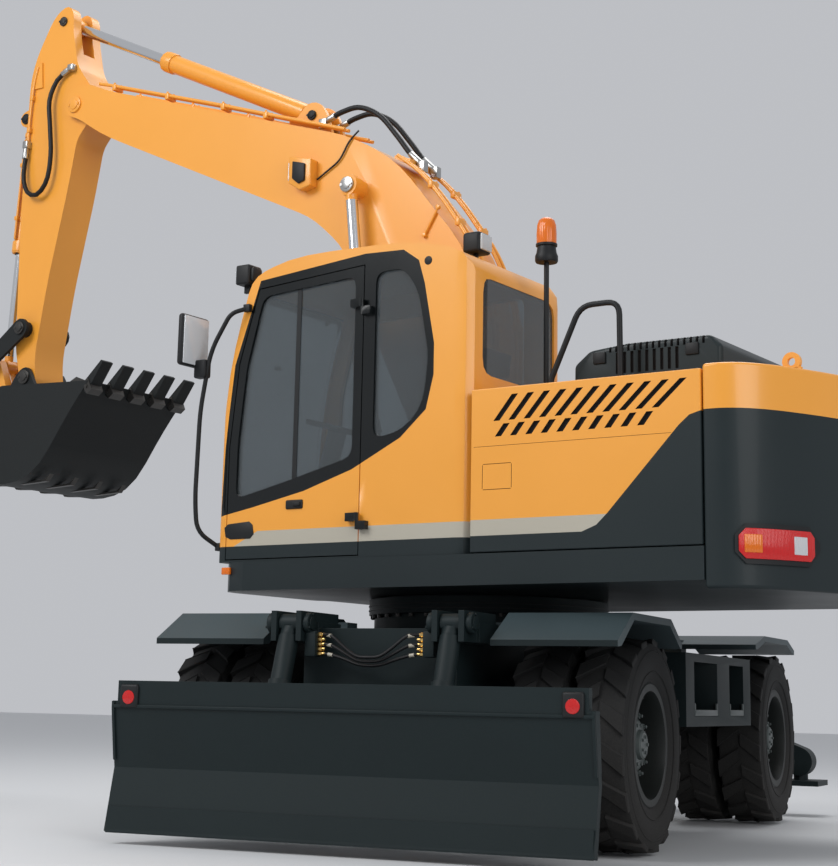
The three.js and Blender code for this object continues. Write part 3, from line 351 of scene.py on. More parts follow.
def spun(bm, profile, centre, axis, steps=64):
    """A closed profile of (radius, distance along the axis) turned about the axis."""
    centre, axis = Vector(centre), Vector(axis).normalized()
    side = axis.orthogonal().normalized()
    verts = [bm.verts.new(centre + side * r + axis * h) for r, h in profile]
    edges = [bm.edges.new((verts[i], verts[(i + 1) % len(verts)])) for i in range(len(verts))]
    bmesh.ops.spin(
        bm, geom=verts + edges, cent=centre, axis=axis, angle=2 * math.pi, steps=steps, use_merge=True
    )


def around(bm, verts, centre, axis, count):
    """Copies of what these points carry, at even angles about an axis."""
    geom = list({f for v in verts for f in v.link_faces})
    for i in range(1, count):
        made = bmesh.ops.duplicate(bm, geom=geom + list({e for f in geom for e in f.edges}) + list(verts))["geom"]
        turn = Matrix.Rotation(2 * math.pi * i / count, 3, Vector(axis))
        bmesh.ops.rotate(bm, cent=centre, matrix=turn, verts=[g for g in made if isinstance(g, bmesh.types.BMVert)])


def finish_piece(name, bm, body, slot, finish, place=UPPER, smooth=35, turn_out=True, extra=()):
    """Moves the mesh to its place, makes it an object and lets it ride on its body."""
    bmesh.ops.transform(bm, matrix=place, verts=bm.verts)
    if turn_out:
        bmesh.ops.recalc_face_normals(bm, faces=bm.faces)
    mesh = bpy.data.meshes.new(name)
    bm.to_mesh(mesh)
    bm.free()
    mesh.shade_smooth()
    mesh.set_sharp_from_angle(angle=math.radians(smooth))
    piece = bpy.data.objects.new(name, mesh)
    bpy.context.scene.collection.objects.link(piece)
    for key in (finish, *extra):
        mesh.materials.append(FINISH[key])
    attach(piece, body)
    return piece


def blocks(name, body, slot, finish, *rows, place=UPPER):
    """A piece of plain boxes; each row is a low corner, a high corner, and how it is rounded."""
    bm = bmesh.new()
    for row in rows:
        block(bm, *row)
    return finish_piece(name, bm, body, slot, finish, place)


def body_of(node):
    """The body that a CAD node belongs to."""
    bodies = frame["record"]["behaviour"]["bodies"]
    return next(body for body, members in bodies.items() if node in members)


def slot_of(node):
    """The material slot that the record gives a CAD node."""
    return next(row["material_slot"] for row in frame["record"]["subparts"] if row["node"] == node)


def skin(
    node, finish, name=None, round_edges=0.006, segments=2, smooth=35, cuts=(), choose=None, extra=(),
    place=UPPER, carve=None,
):
    """The CAD node's own shape with eased edges, and other finishes where choose says so."""
    bm = bmesh.new()
    bm.from_mesh(frame["nodes"][node].data)
    bmesh.ops.remove_doubles(bm, verts=bm.verts, dist=2e-5)
    bmesh.ops.dissolve_limit(bm, angle_limit=math.radians(0.6), verts=bm.verts, edges=bm.edges)
    bmesh.ops.transform(bm, matrix=place.inverted(), verts=bm.verts)
    for point, normal in cuts:
        geom = list(bm.verts) + list(bm.edges) + list(bm.faces)
        bmesh.ops.bisect_plane(bm, geom=geom, dist=1e-5, plane_co=point, plane_no=normal)
    if choose:
        for face in bm.faces:
            face.material_index = choose(face.calc_center_median(), face.normal)
    piece = finish_piece(
        name or node + "_skin", bm, body_of(node), slot_of(node), finish, place, smooth, False, extra,
    )
    if round_edges:
        edge = piece.modifiers.new("eased_edges", "BEVEL")
        edge.width = round_edges
        edge.segments = segments
        edge.limit_method = "ANGLE"
        edge.angle_limit = math.radians(32)
        edge.harden_normals = not carve
    if carve:
        cutter = carve()
        modifier = piece.modifiers.new("vents", "BOOLEAN")
        modifier.object = cutter
        modifier.solver = "EXACT"
        modifier.use_self = True
        modifier.material_mode = "TRANSFER"
        carved = bpy.data.meshes.new_from_object(piece.evaluated_get(bpy.context.evaluated_depsgraph_get()))
        piece.modifiers.clear()
        carved.shade_smooth()
        carved.set_sharp_from_angle(angle=math.radians(12))
        piece.data = carved
        bpy.data.objects.remove(cutter)
    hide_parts(node)
    return piece


def cutter_of(name, bm):
    """An object that a skin is carved with; its cuts show the dark behind a vent."""
    bmesh.ops.transform(bm, matrix=UPPER, verts=bm.verts)
    bmesh.ops.recalc_face_normals(bm, faces=bm.faces)
    mesh = bpy.data.meshes.new(name)
    bm.to_mesh(mesh)
    bm.free()
    mesh.materials.append(FINISH["slot_dark"])
    cutter = bpy.data.objects.new(name, mesh)
    bpy.context.scene.collection.objects.link(cutter)
    return cutter


def tube(name, points, radius, body, finish, place=UPPER, cyclic=False, corner=0.0):
    """A bent pipe or rail along points, with rounded corners where asked."""
    data = bpy.data.curves.new(name, "CURVE")
    data.dimensions = "3D"
    data.bevel_depth = radius
    data.bevel_resolution = 4
    data.use_fill_caps = True
    route = [place @ Vector(p) for p in (eased(points, corner) if corner else points)]
    spline = data.splines.new("POLY")
    spline.points.add(len(route) - 1)
    for knot, point in zip(spline.points, route):
        knot.co = (*point, 1)
    spline.use_smooth = True
    spline.use_cyclic_u = cyclic
    piece = bpy.data.objects.new(name, data)
    bpy.context.scene.collection.objects.link(piece)
    data.materials.append(FINISH[finish])
    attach(piece, body)
    return piece


def eased(points, radius, steps=5):
    """The same route with each corner rounded."""
    points = [Vector(p) for p in points]
    route = [points[0]]
    for before, corner, after in zip(points, points[1:], points[2:]):
        a, b = before - corner, after - corner
        reach = min(radius, 0.45 * a.length, 0.45 * b.length)
        a, b = corner + a.normalized() * reach, corner + b.normalized() * reach
        for i in range(steps + 1):
            t = i / steps
            route.append(a * (1 - t) ** 2 + corner * 2 * t * (1 - t) + b * t * t)
    return route + [points[-1]]


def curve_through(points, count):
    """Evenly spaced points on a smooth line through the given ones."""
    points = [Vector(p) for p in points]
    ends = [points[0] * 2 - points[1], *points, points[-1] * 2 - points[-2]]
    fine = []
    for a, b, c, d in zip(ends, ends[1:], ends[2:], ends[3:]):
        for i in range(24):
            t = i / 24
            fine.append(
                0.5 * (2 * b + (c - a) * t + (2 * a - 5 * b + 4 * c - d) * t * t + (3 * b - a - 3 * c + d) * t ** 3)
            )
    fine.append(points[-1])
    steps = [0.0]
    for a, b in zip(fine, fine[1:]):
        steps.append(steps[-1] + (b - a).length)
    route, k = [], 0
    for i in range(count):
        goal = steps[-1] * i / (count - 1)
        while k < len(fine) - 2 and steps[k + 1] < goal:
            k += 1
        part = (goal - steps[k]) / max(1e-9, steps[k + 1] - steps[k])
        route.append(fine[k].lerp(fine[k + 1], min(1.0, part)))
    return route


# ---------------------------------------------------------------- settings
class FinishSettings(bpy.types.PropertyGroup):
    """Colours of the machine's paint and rubber."""

    body_color: bpy.props.FloatVectorProperty(
        name="Body paint", description="Yellow of the cab, boom, arm and doors", subtype="COLOR", default=(
            0.80, 0.33, 0.035,
        )
    )
    frame_color: bpy.props.FloatVectorProperty(
        name="Frame paint", description="Dark green of the decks and the tail", subtype="COLOR", default=(
            0.013, 0.020, 0.022,
        )
    )
    tyre_color: bpy.props.FloatVectorProperty(
        name="Tyre rubber", description="Colour of the tyres", subtype="COLOR", default=(0.013, 0.014, 0.015)
    )


class SizeSettings(bpy.types.PropertyGroup):
    """Sizes of the details that are added to the frame."""

    tread_depth: bpy.props.FloatProperty(
        name="Tread depth", description="Height of the tyre lugs", default=0.03, unit="LENGTH"
    )
    lug_count: bpy.props.IntProperty(name="Lugs", description="Lugs round each shoulder of a tyre", default=17)
    hose_diameter: bpy.props.FloatProperty(
        name="Main hose", description="Outer diameter of the hoses to the arm cylinder", default=0.036, unit="LENGTH"
    )
    pipe_diameter: bpy.props.FloatProperty(
        name="Steel pipe", description="Outer diameter of the pipes clamped to the boom", default=0.024, unit="LENGTH"
    )
    paint_edge: bpy.props.FloatProperty(
        name="Edge rounding", description="Rounding of the edges of plates and castings", default=0.006, unit="LENGTH"
    )


def sizes():
    return bpy.context.scene.excavator_sizes


# ---------------------------------------------------------------- stage
class STAGE_OT_studio(bpy.types.Operator):
    """Camera, soft lamps, pale floor and backdrop"""

    bl_idname = "excavator.studio"
    bl_label = "Studio"

    def execute(self, context):
        data = bpy.data.cameras.new("studio_camera")
        data.sensor_width = 36.0
        data.sensor_fit = "HORIZONTAL"
        data.lens = 74.24
        data.shift_x = 0.01647
        data.shift_y = -0.1074
        data.clip_end = 200.0
        camera = bpy.data.objects.new("studio_camera", data)
        context.scene.collection.objects.link(camera)
        yaw, pitch, roll = -0.427, 0.203, 0.020
        right = Vector((math.cos(yaw), -math.sin(yaw), 0.0))
        ahead = Vector((math.sin(yaw) * math.cos(pitch), math.cos(yaw) * math.cos(pitch), math.sin(pitch)))
        up = right.cross(ahead)
        level = right * math.cos(roll) + up * math.sin(roll)
        top = up * math.cos(roll) - right * math.sin(roll)
        camera.matrix_world = Matrix.Translation(
            (4.6266, -9.965, 0.727)
        ) @ Matrix((level, top, -ahead)).transposed().to_4x4()
        context.scene.camera = camera

        world = bpy.data.worlds.new("studio_light")
        world.use_nodes = True
        world.node_tree.nodes["Background"].inputs["Color"].default_value = (0.93, 0.95, 1.0, 1)
        world.node_tree.nodes["Background"].inputs["Strength"].default_value = 0.55
        context.scene.world = world
        for name, place, target, size, power in (
            ("key_lamp", (-5.0, -9.0, 9.0), (0.5, -0.5, 2.0), 6.0, 780.0),
            ("fill_lamp", (10.0, -8.0, 5.0), (1.5, -0.5, 1.5), 7.0, 380.0),
            ("top_lamp", (1.0, 3.0, 11.0), (0.5, 0.0, 1.0), 7.0, 430.0),
        ):
            lamp = bpy.data.lights.new(name, "AREA")
            lamp.shape = "DISK"
            lamp.size = size
            lamp.energy = power
            holder = bpy.data.objects.new(name, lamp)
            context.scene.collection.objects.link(holder)
            aim = Vector(target) - Vector(place)
            holder.matrix_world = Matrix.Translation(place) @ aim.to_track_quat("-Z", "Y").to_matrix().to_4x4()

        floor_paint = floor_finish("studio_floor_paint", (0.62, 0.63, 0.64))
        bm = bmesh.new()
        bmesh.ops.create_grid(bm, x_segments=1, y_segments=1, size=40.0)
        bmesh.ops.translate(bm, vec=(0, 0, -0.002), verts=bm.verts)
        floor = bpy.data.objects.new("studio_floor", bpy.data.meshes.new("studio_floor"))
        bm.to_mesh(floor.data)
        bm.free()
        floor.data.materials.append(floor_paint)
        context.scene.collection.objects.link(floor)
        context.scene.view_settings.view_transform = "Standard"
        return {"FINISHED"}


# ---------------------------------------------------------------- undercarriage
class EXC_OT_undercarriage(bpy.types.Operator):
    """Chassis, slewing drum, axles, steps and mudguards"""

    bl_idname = "excavator.undercarriage"
    bl_label = "Undercarriage"

    def execute(self, context):
        edge = sizes().paint_edge
        skin("chassis_frame", "chassis", round_edges=edge, place=LOWER)
        skin("slew_ring", "chassis", round_edges=0.003, place=LOWER, smooth=20)
        for node in ("rear_axle", "front_axle", "driveline", "left_knuckle", "right_knuckle"):
            skin(node, "casting", round_edges=0.008, place=LOWER, smooth=35)
        self.slew_bolts()
        for side, hand in ((-1, "left"), (1, "right")):
            node = hand + "_step_and_fenders"
            skin(node, "chassis", round_edges=0.005, place=LOWER, choose=self.fender_tone, extra=("fender",))
            self.step_plates(side, hand)
            self.fender_mats(side, hand)
        self.shaft_joints()
        return {"FINISHED"}

    def fender_tone(self, at, normal):
        return 1 if at.z > 1.003 else 0

    def slew_bolts(self):
        low, high = corners("slew_ring", LOWER)
        bm = bmesh.new()
        radius = high.x - 0.02
        verts = round_bar(bm, (radius, 0, low.z + 0.128), (radius, 0, low.z + 0.102), 0.014, 6)
        around(bm, verts, (0, 0, 0), (0, 0, 1), 40)
        finish_piece("slew_ring_bolts", bm, "chassis", "black_frame", "worn", LOWER)
        bm = bmesh.new()
        for z, tall in ((low.z + 0.145, 0.006), (low.z + 0.17, 0.006)):
            spun(
                bm,
                [(high.x - 0.004, z), (high.x + 0.004, z), (high.x + 0.004, z + tall), (high.x - 0.004, z + tall)],
                (0, 0, 0), (0, 0, 1), 96,
            )
        finish_piece("slew_ring_seals", bm, "chassis", "black_frame", "trim", LOWER)

    def step_plates(self, side, hand):
        outer = 1.23 * side
        bm = bmesh.new()
        for y0, y1 in ((-0.08, 0.42), (0.70, 1.04)):
            ends = sorted((outer, outer - 0.19 * side))
            block(bm, (ends[0], y0 + 0.004, 0.666), (ends[1], y1 - 0.004, 0.676), 0.002, 1)
            lip = sorted((outer + 0.003 * side, outer - 0.012 * side))
            block(bm, (lip[0], y0 + 0.004, 0.666), (lip[1], y1 - 0.004, 0.700), 0.005, 3)
            for y in (y0 + 0.012, y1 - 0.012):
                block(bm, (lip[0], y - 0.010, 0.672), (lip[1], y + 0.010, 0.735), 0.006, 3)
        finish_piece(hand + "_step_treads", bm, "chassis", "black_frame", "hub", LOWER)

    def fender_mats(self, side, hand):
        bm = bmesh.new()
        for y in (JOINTS["rear_left_wheel_spin"]["pos_m"][1], JOINTS["front_left_wheel_spin"]["pos_m"][1]):
            y -= SLEW.y
            for i in range(14):
                for k in range(12):
                    x = side * (0.66 + k * 0.05)
                    at = y - 0.33 + i * 0.047 + (k % 2) * 0.023
                    block(bm, (x - 0.012, at - 0.004, 1.153), (x + 0.012, at + 0.004, 1.1565))
        finish_piece(hand + "_fender_grip", bm, "chassis", "black_frame", "fender", LOWER)

    def shaft_joints(self):
        bm = bmesh.new()
        z = JOINTS["rear_left_wheel_spin"]["pos_m"][2] - 0.06
        for y, way in ((-0.728, 1), (0.20, -1), (0.64, 1), (1.68, -1)):
            round_bar(bm, (0, y, z), (0, y + 0.05 * way, z), 0.07, 32, bevel=0.006)
            round_bar(bm, (0, y + 0.05 * way, z), (0, y + 0.14 * way, z), 0.055, 32, 0.047)
        finish_piece("shaft_flanges", bm, "chassis", "black_frame", "casting", LOWER)


class EXC_OT_wheels(bpy.types.Operator):
    """Twin tyres with lugs, rims, hubs and wheel nuts on each axle end"""

    bl_idname = "excavator.wheels"
    bl_label = "Wheels"

    def execute(self, context):
        for end in ("rear", "front"):
            for side, hand in ((-1, "left"), (1, "right")):
                name = f"{end}_{hand}"
                hub = Vector(JOINTS[name + "_wheel_spin"]["pos_m"])
                low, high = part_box(name + "_tyres")
                self.tyres(name, hub, low.x, high.x)
                self.rims(name, hub, side, low.x, high.x)
        return {"FINISHED"}

    def tyres(self, name, hub, low, high):
        outer = hub.z
        width = TYRE_WIDTH
        depth = sizes().tread_depth
        bm = bmesh.new()
        for centre in (low + width / 2, high - width / 2):
            half = width / 2
            profile = [
                (0.285, -0.098), (0.300, -0.112), (0.330, -0.127), (0.380, -half + 0.001), (0.430, -half),
                (0.468, -half + 0.006),
                (0.492, -half + 0.014), (outer - depth, -half + 0.028), (outer - depth + 0.004, -0.05),
                (outer - depth + 0.005, 0.0),
                (outer - depth + 0.004, 0.05), (outer - depth, half - 0.028), (0.492, half - 0.014),
                (0.468, half - 0.006),
                (0.430, half), (0.380, half - 0.001), (0.330, 0.127), (0.300, 0.112), (0.285, 0.098),
            ]
            spun(bm, profile, (centre, hub.y, hub.z), (1, 0, 0), 72)
            count = sizes().lug_count
            for shoulder in (-1, 1):
                verts = block(bm, (-0.5, -0.5, -0.5), (0.5, 0.5, 0.5))
                for v in verts:
                    out = 0.5 + v.co.x
                    v.co = Vector((
                        centre + shoulder * (0.006 + out * (half - 0.016)),
                        hub.y + v.co.y * (0.074 + 0.022 * out) + (0.5 - out) * 0.085,
                        hub.z + outer - (0.0108 + 0.004 * out if v.co.z > 0 else 0.034 + 0.014 * out),
                    ))
                edges = list({e for v in verts for e in v.link_edges})
                lug = ease(bm, edges, 0.004, 1)
                start = math.pi / count * (shoulder + 1) / 2
                bmesh.ops.rotate(bm, cent=hub, matrix=Matrix.Rotation(start, 3, "X"), verts=lug)
                around(bm, lug, hub, (1, 0, 0), count)
            for face in (-1, 1):
                for r in (0.452, 0.352):
                    ring = [
                        (r, half - 0.002), (r + 0.005, half + 0.0015), (r + 0.010, half - 0.002),
                        (r + 0.005, half - 0.008),
                    ]
                    spun(bm, [(a, face * (b - 0.0025)) for a, b in ring], (centre, hub.y, hub.z), (1, 0, 0), 72)
        piece = finish_piece(name + "_tyre_pair", bm, name + "_wheel", "tyre", "tyre", Matrix(), 40)
        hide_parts(name + "_tyres")

    def rims(self, name, hub, side, low, high):
        bm = bmesh.new()
        left, right = low + TYRE_WIDTH / 2, high - TYRE_WIDTH / 2
        outside, inside = (right, left) if side > 0 else (left, right)
        for centre in (outside, inside):
            profile = [
                (0.262, -0.118), (0.296, -0.118), (0.306, -0.112), (0.306, -0.104), (0.290, -0.100),
                (0.284, -0.088), (0.268, -0.060),
                (0.268, 0.060), (0.284, 0.088), (0.290, 0.100), (0.306, 0.104), (0.306, 0.112), (0.296, 0.118),
                (0.262, 0.118),
                (0.256, 0.104), (0.252, 0.060), (0.252, -0.060), (0.256, -0.104),
            ]
            spun(bm, profile, (centre, hub.y, hub.z), (1, 0, 0), 64)
        s = side
        dish = [
            (0.254, -0.050 * s), (0.254, -0.036 * s), (0.225, -0.026 * s), (0.190, 0.012 * s),
            (0.165, 0.020 * s), (0.120, 0.020 * s),
            (0.120, 0.006 * s), (0.165, 0.006 * s), (0.185, -0.002 * s), (0.222, -0.042 * s),
        ]
        spun(bm, dish, (outside, hub.y, hub.z), (1, 0, 0), 64)
        spun(bm, [(r, -h - 0.04 * s) for r, h in dish], (inside, hub.y, hub.z), (1, 0, 0), 64)
        finish = bmesh.new()
        drum = [
            (0.002, 0.085 * s), (0.060, 0.085 * s), (0.070, 0.078 * s), (0.074, 0.060 * s), (0.110, 0.056 * s),
            (0.122, 0.048 * s),
            (0.126, 0.021 * s), (0.135, -0.02 * s), (0.14, -0.22 * s), (0.002, -0.22 * s),
        ]
        spun(finish, drum, (outside, hub.y, hub.z), (1, 0, 0), 48)
        for radius, count, size, reach in (
            (0.146, 10, 0.015, 0.048), (0.098, 10, 0.009, 0.064), (0.040, 5, 0.008, 0.093),
        ):
            start = Vector((outside + 0.012 * s, hub.y + radius, hub.z))
            nut = round_bar(finish, start, (outside + reach * s, hub.y + radius, hub.z), size, 6)
            around(finish, nut, hub, (1, 0, 0), count)
        nut = round_bar(
            finish, (outside + 0.03 * s, hub.y + 0.146, hub.z), (outside + 0.062 * s, hub.y + 0.146, hub.z),
            0.008, 10,
        )
        around(finish, nut, hub, (1, 0, 0), 10)
        finish_piece(name + "_hub_disc", finish, name + "_wheel", "black_frame", "hub", Matrix(), 30)
        round_bar(
            bm, (outside + 0.03 * s, hub.y, hub.z + 0.235), (outside + 0.08 * s, hub.y, hub.z + 0.225), 0.005,
            8,
        )
        piece = finish_piece(name + "_rim_pair", bm, name + "_wheel", "black_frame", "rim", Matrix(), 30)
        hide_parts(name + "_rims")


class EXC_OT_blade(bpy.types.Operator):
    """Dozer blade with its edge, reflectors, pins, cylinders, valve blocks and hoses"""

    bl_idname = "excavator.blade"
    bl_label = "Blade"

    def execute(self, context):
        face = corners("dozer_blade", LOWER)[0]
        skin("dozer_blade", "chassis", round_edges=0.006, place=LOWER, smooth=4)
        self.edge_and_trim(face)
        self.cylinders()
        self.valve_blocks()
        return {"FINISHED"}

    def edge_and_trim(self, face):
        bm = bmesh.new()
        y = face.y
        slab(bm, [(y, 0.052), (y + 0.018, 0.180), (y + 0.030, 0.180), (y + 0.036, 0.052)], "x", -1.262, 1.262)
        finish_piece("blade_cutting_edge", bm, "blade", "black_frame", "chassis", LOWER)
        bm = bmesh.new()
        block(bm, (-1.268, y + 0.010, 0.655), (1.268, y + 0.026, 0.672), 0.004)
        for start, end in ((-1.232, -0.53), (-0.35, 0.35), (0.53, 1.232)):
            block(bm, (start, y + 0.058, 0.755), (end, y + 0.098, 0.785), 0.006)
        for x in (-1.262, 1.262):
            slab(
                bm,
                [(y + 0.050, 0.40), (y + 0.012, 0.655), (y + 0.012, 0.688), (y + 0.085, 0.688), (y + 0.110, 0.42)],
                "x", x - 0.007, x + 0.007,
            )
        for x in (-0.98, -0.62, 0.62, 0.98):
            slab(
                bm, [(y + 0.062, 0.445), (y + 0.06, 0.755), (y + 0.085, 0.755), (y + 0.125, 0.445)], "x",
                x - 0.008, x + 0.008,
            )
        finish_piece("blade_ribs", bm, "blade", "black_frame", "chassis", LOWER)
        bm = bmesh.new()
        for x in (-1.168, 1.168):
            round_bar(bm, (x, y + 0.012, 0.708), (x, y + 0.001, 0.708), 0.034, 40, bevel=0.003)
        finish_piece("blade_reflectors", bm, "blade", "black_frame", "red", LOWER)
        bm = bmesh.new()
        for x in (-1.168, 1.168):
            block(bm, (x - 0.052, y + 0.004, 0.655), (x + 0.052, y + 0.05, 0.772), 0.012, 3)
        finish_piece("blade_reflector_housings", bm, "blade", "black_frame", "trim", LOWER)

    def cylinders(self):
        for side, hand in ((-1, "left"), (1, "right")):
            skin(f"blade_{hand}_barrel", "chassis", round_edges=0.003, place=LOWER, smooth=40)
            skin(f"blade_{hand}_rod", "chrome", round_edges=0.002, place=LOWER, smooth=40)
            pin = local(JOINTS[f"blade_{hand}_barrel_turn"]["pos_m"], LOWER)
            bm = bmesh.new()
            for way in (-1, 1):
                round_bar(
                    bm, pin + Vector((way * 0.085, 0, 0)), pin + Vector((way * 0.118, 0, 0)), 0.052, 32,
                    bevel=0.006,
                )
                round_bar(
                    bm, pin + Vector((way * 0.118, 0, 0)), pin + Vector((way * 0.126, 0, 0)), 0.035, 32,
                    bevel=0.003,
                )
                bolt = round_bar(
                    bm, pin + Vector((way * 0.118, 0, 0.042)), pin + Vector((way * 0.126, 0, 0.042)), 0.007, 6
                )
                around(bm, bolt, pin, (1, 0, 0), 3)
            finish_piece(f"blade_{hand}_pin_caps", bm, "chassis", "black_frame", "chassis", LOWER)
            pivot = local(JOINTS["blade_lift"]["pos_m"], LOWER)
            bm = bmesh.new()
            for way in (-1, 1):
                at = Vector((side * 0.30, pivot.y, pivot.z))
                round_bar(
                    bm, at + Vector((way * 0.088, 0, 0)), at + Vector((way * 0.103, 0, 0)), 0.045, 28,
                    bevel=0.004,
                )
            finish_piece(f"blade_{hand}_arm_pins", bm, "chassis", "black_frame", "worn", LOWER)

    def valve_blocks(self):
        cases, brass, tags = bmesh.new(), bmesh.new(), bmesh.new()
        for side in (-1, 1):
            ends = sorted((side * 0.352, side * 0.292))
            block(cases, (ends[0], -1.612, 0.925), (ends[1], -1.545, 1.05), 0.006)
            for k in range(5):
                z = 0.940 + 0.0235 * k
                round_bar(brass, (side * 0.294, -1.578, z), (side * 0.270, -1.578, z), 0.0115, 6)
                round_bar(brass, (side * 0.272, -1.578, z), (side * 0.252, -1.578, z), 0.0085, 20, bevel=0.001)
        for k in range(3):
            z = 0.940 + 0.047 * k
            low = 0.895 + 0.02 * k
            y = -1.578 - 0.012 * k
            half = [
                (0.335, -1.578, z), (0.262, -1.578, z), (0.205, y, z - 0.008),
                (0.13, y - 0.006, 0.35 * z + 0.65 * low), (0.065, y - 0.009, low - 0.006),
                (0.0, y - 0.01, low - 0.012),
            ]
            points = [(-x, a, b) for x, a, b in half] + [(x, a, b) for x, a, b in reversed(half[:-1])]
            free_hose(f"blade_hose_{k}", points, BLADE_HOSE, "chassis", LOWER)
            for side in (-1, 1):
                round_bar(
                    tags, (side * 0.236, -1.578 - 0.003 * k, z - 0.003), (side * 0.210, y, z - 0.007), 0.0095,
                    20,
                )
        finish_piece("blade_valve_blocks", cases, "chassis", "black_frame", "chassis", LOWER)
        finish_piece("blade_valve_fittings", brass, "chassis", "black_frame", "brass", LOWER)
        finish_piece("blade_hose_tags", tags, "chassis", "black_trim", "stripe", LOWER)


def free_hose(name, points, diameter, body, place=UPPER, count=28):
    """A rubber hose that hangs free between two fittings of the machine."""
    route = curve_through(points, count)
    piece = tube(name, route, diameter / 2, body, "hose", place)
    return piece


# ---------------------------------------------------------------- upper body
STRIPE = (1.535, 1.615)
SURROUND = [
    (1.02, 1.705), (0.80, 1.745), (0.44, 1.82), (0.12, 1.92), (-0.19, 2.07), (-0.35, 2.21),
    (-0.395, 2.39), (-0.395, 2.56), (-0.33, 2.89), (-0.29, 3.02), (-0.19, 3.09), (0.06, 3.10), (0.79, 3.035),
    (0.955, 2.56), (1.005, 2.09),
]


def inside_outline(outline, u, v):
    """True if a point of the (y, z) plane lies within an outline."""
    hit = False
    for (a, b), (c, d) in zip(outline, outline[1:] + outline[:1]):
        if (b > v) != (d > v) and u < (c - a) * (v - b) / (d - b) + a:
            hit = not hit
    return hit


def outline_cuts(outline):
    """A cutting plane through each edge of a (y, z) outline."""
    cuts = []
    for (a, b), (c, d) in zip(outline, outline[1:] + outline[:1]):
        cuts.append(((0, a, b), Vector((0, d - b, a - c)).normalized()))
    return cuts


def level(z):
    return ((0, 0, z), (0, 0, 1))


TAIL_EDGE = [(-1.28, 1.535), (-1.36, 1.565), (-1.42, 1.62), (-1.80, 2.02), (-1.855, 2.065), (-1.93, 2.085)]
TAIL = [*TAIL_EDGE, (-2.6, 2.085), (-2.6, 1.535)]


def side_tone(at, normal):
    """Livery of the left and right flanks: stripe, dark base and dark tail corner."""
    if at.z < STRIPE[0] or inside_outline(TAIL, at.y, at.z):
        return 1
    return 2 if at.z < STRIPE[1] else 0


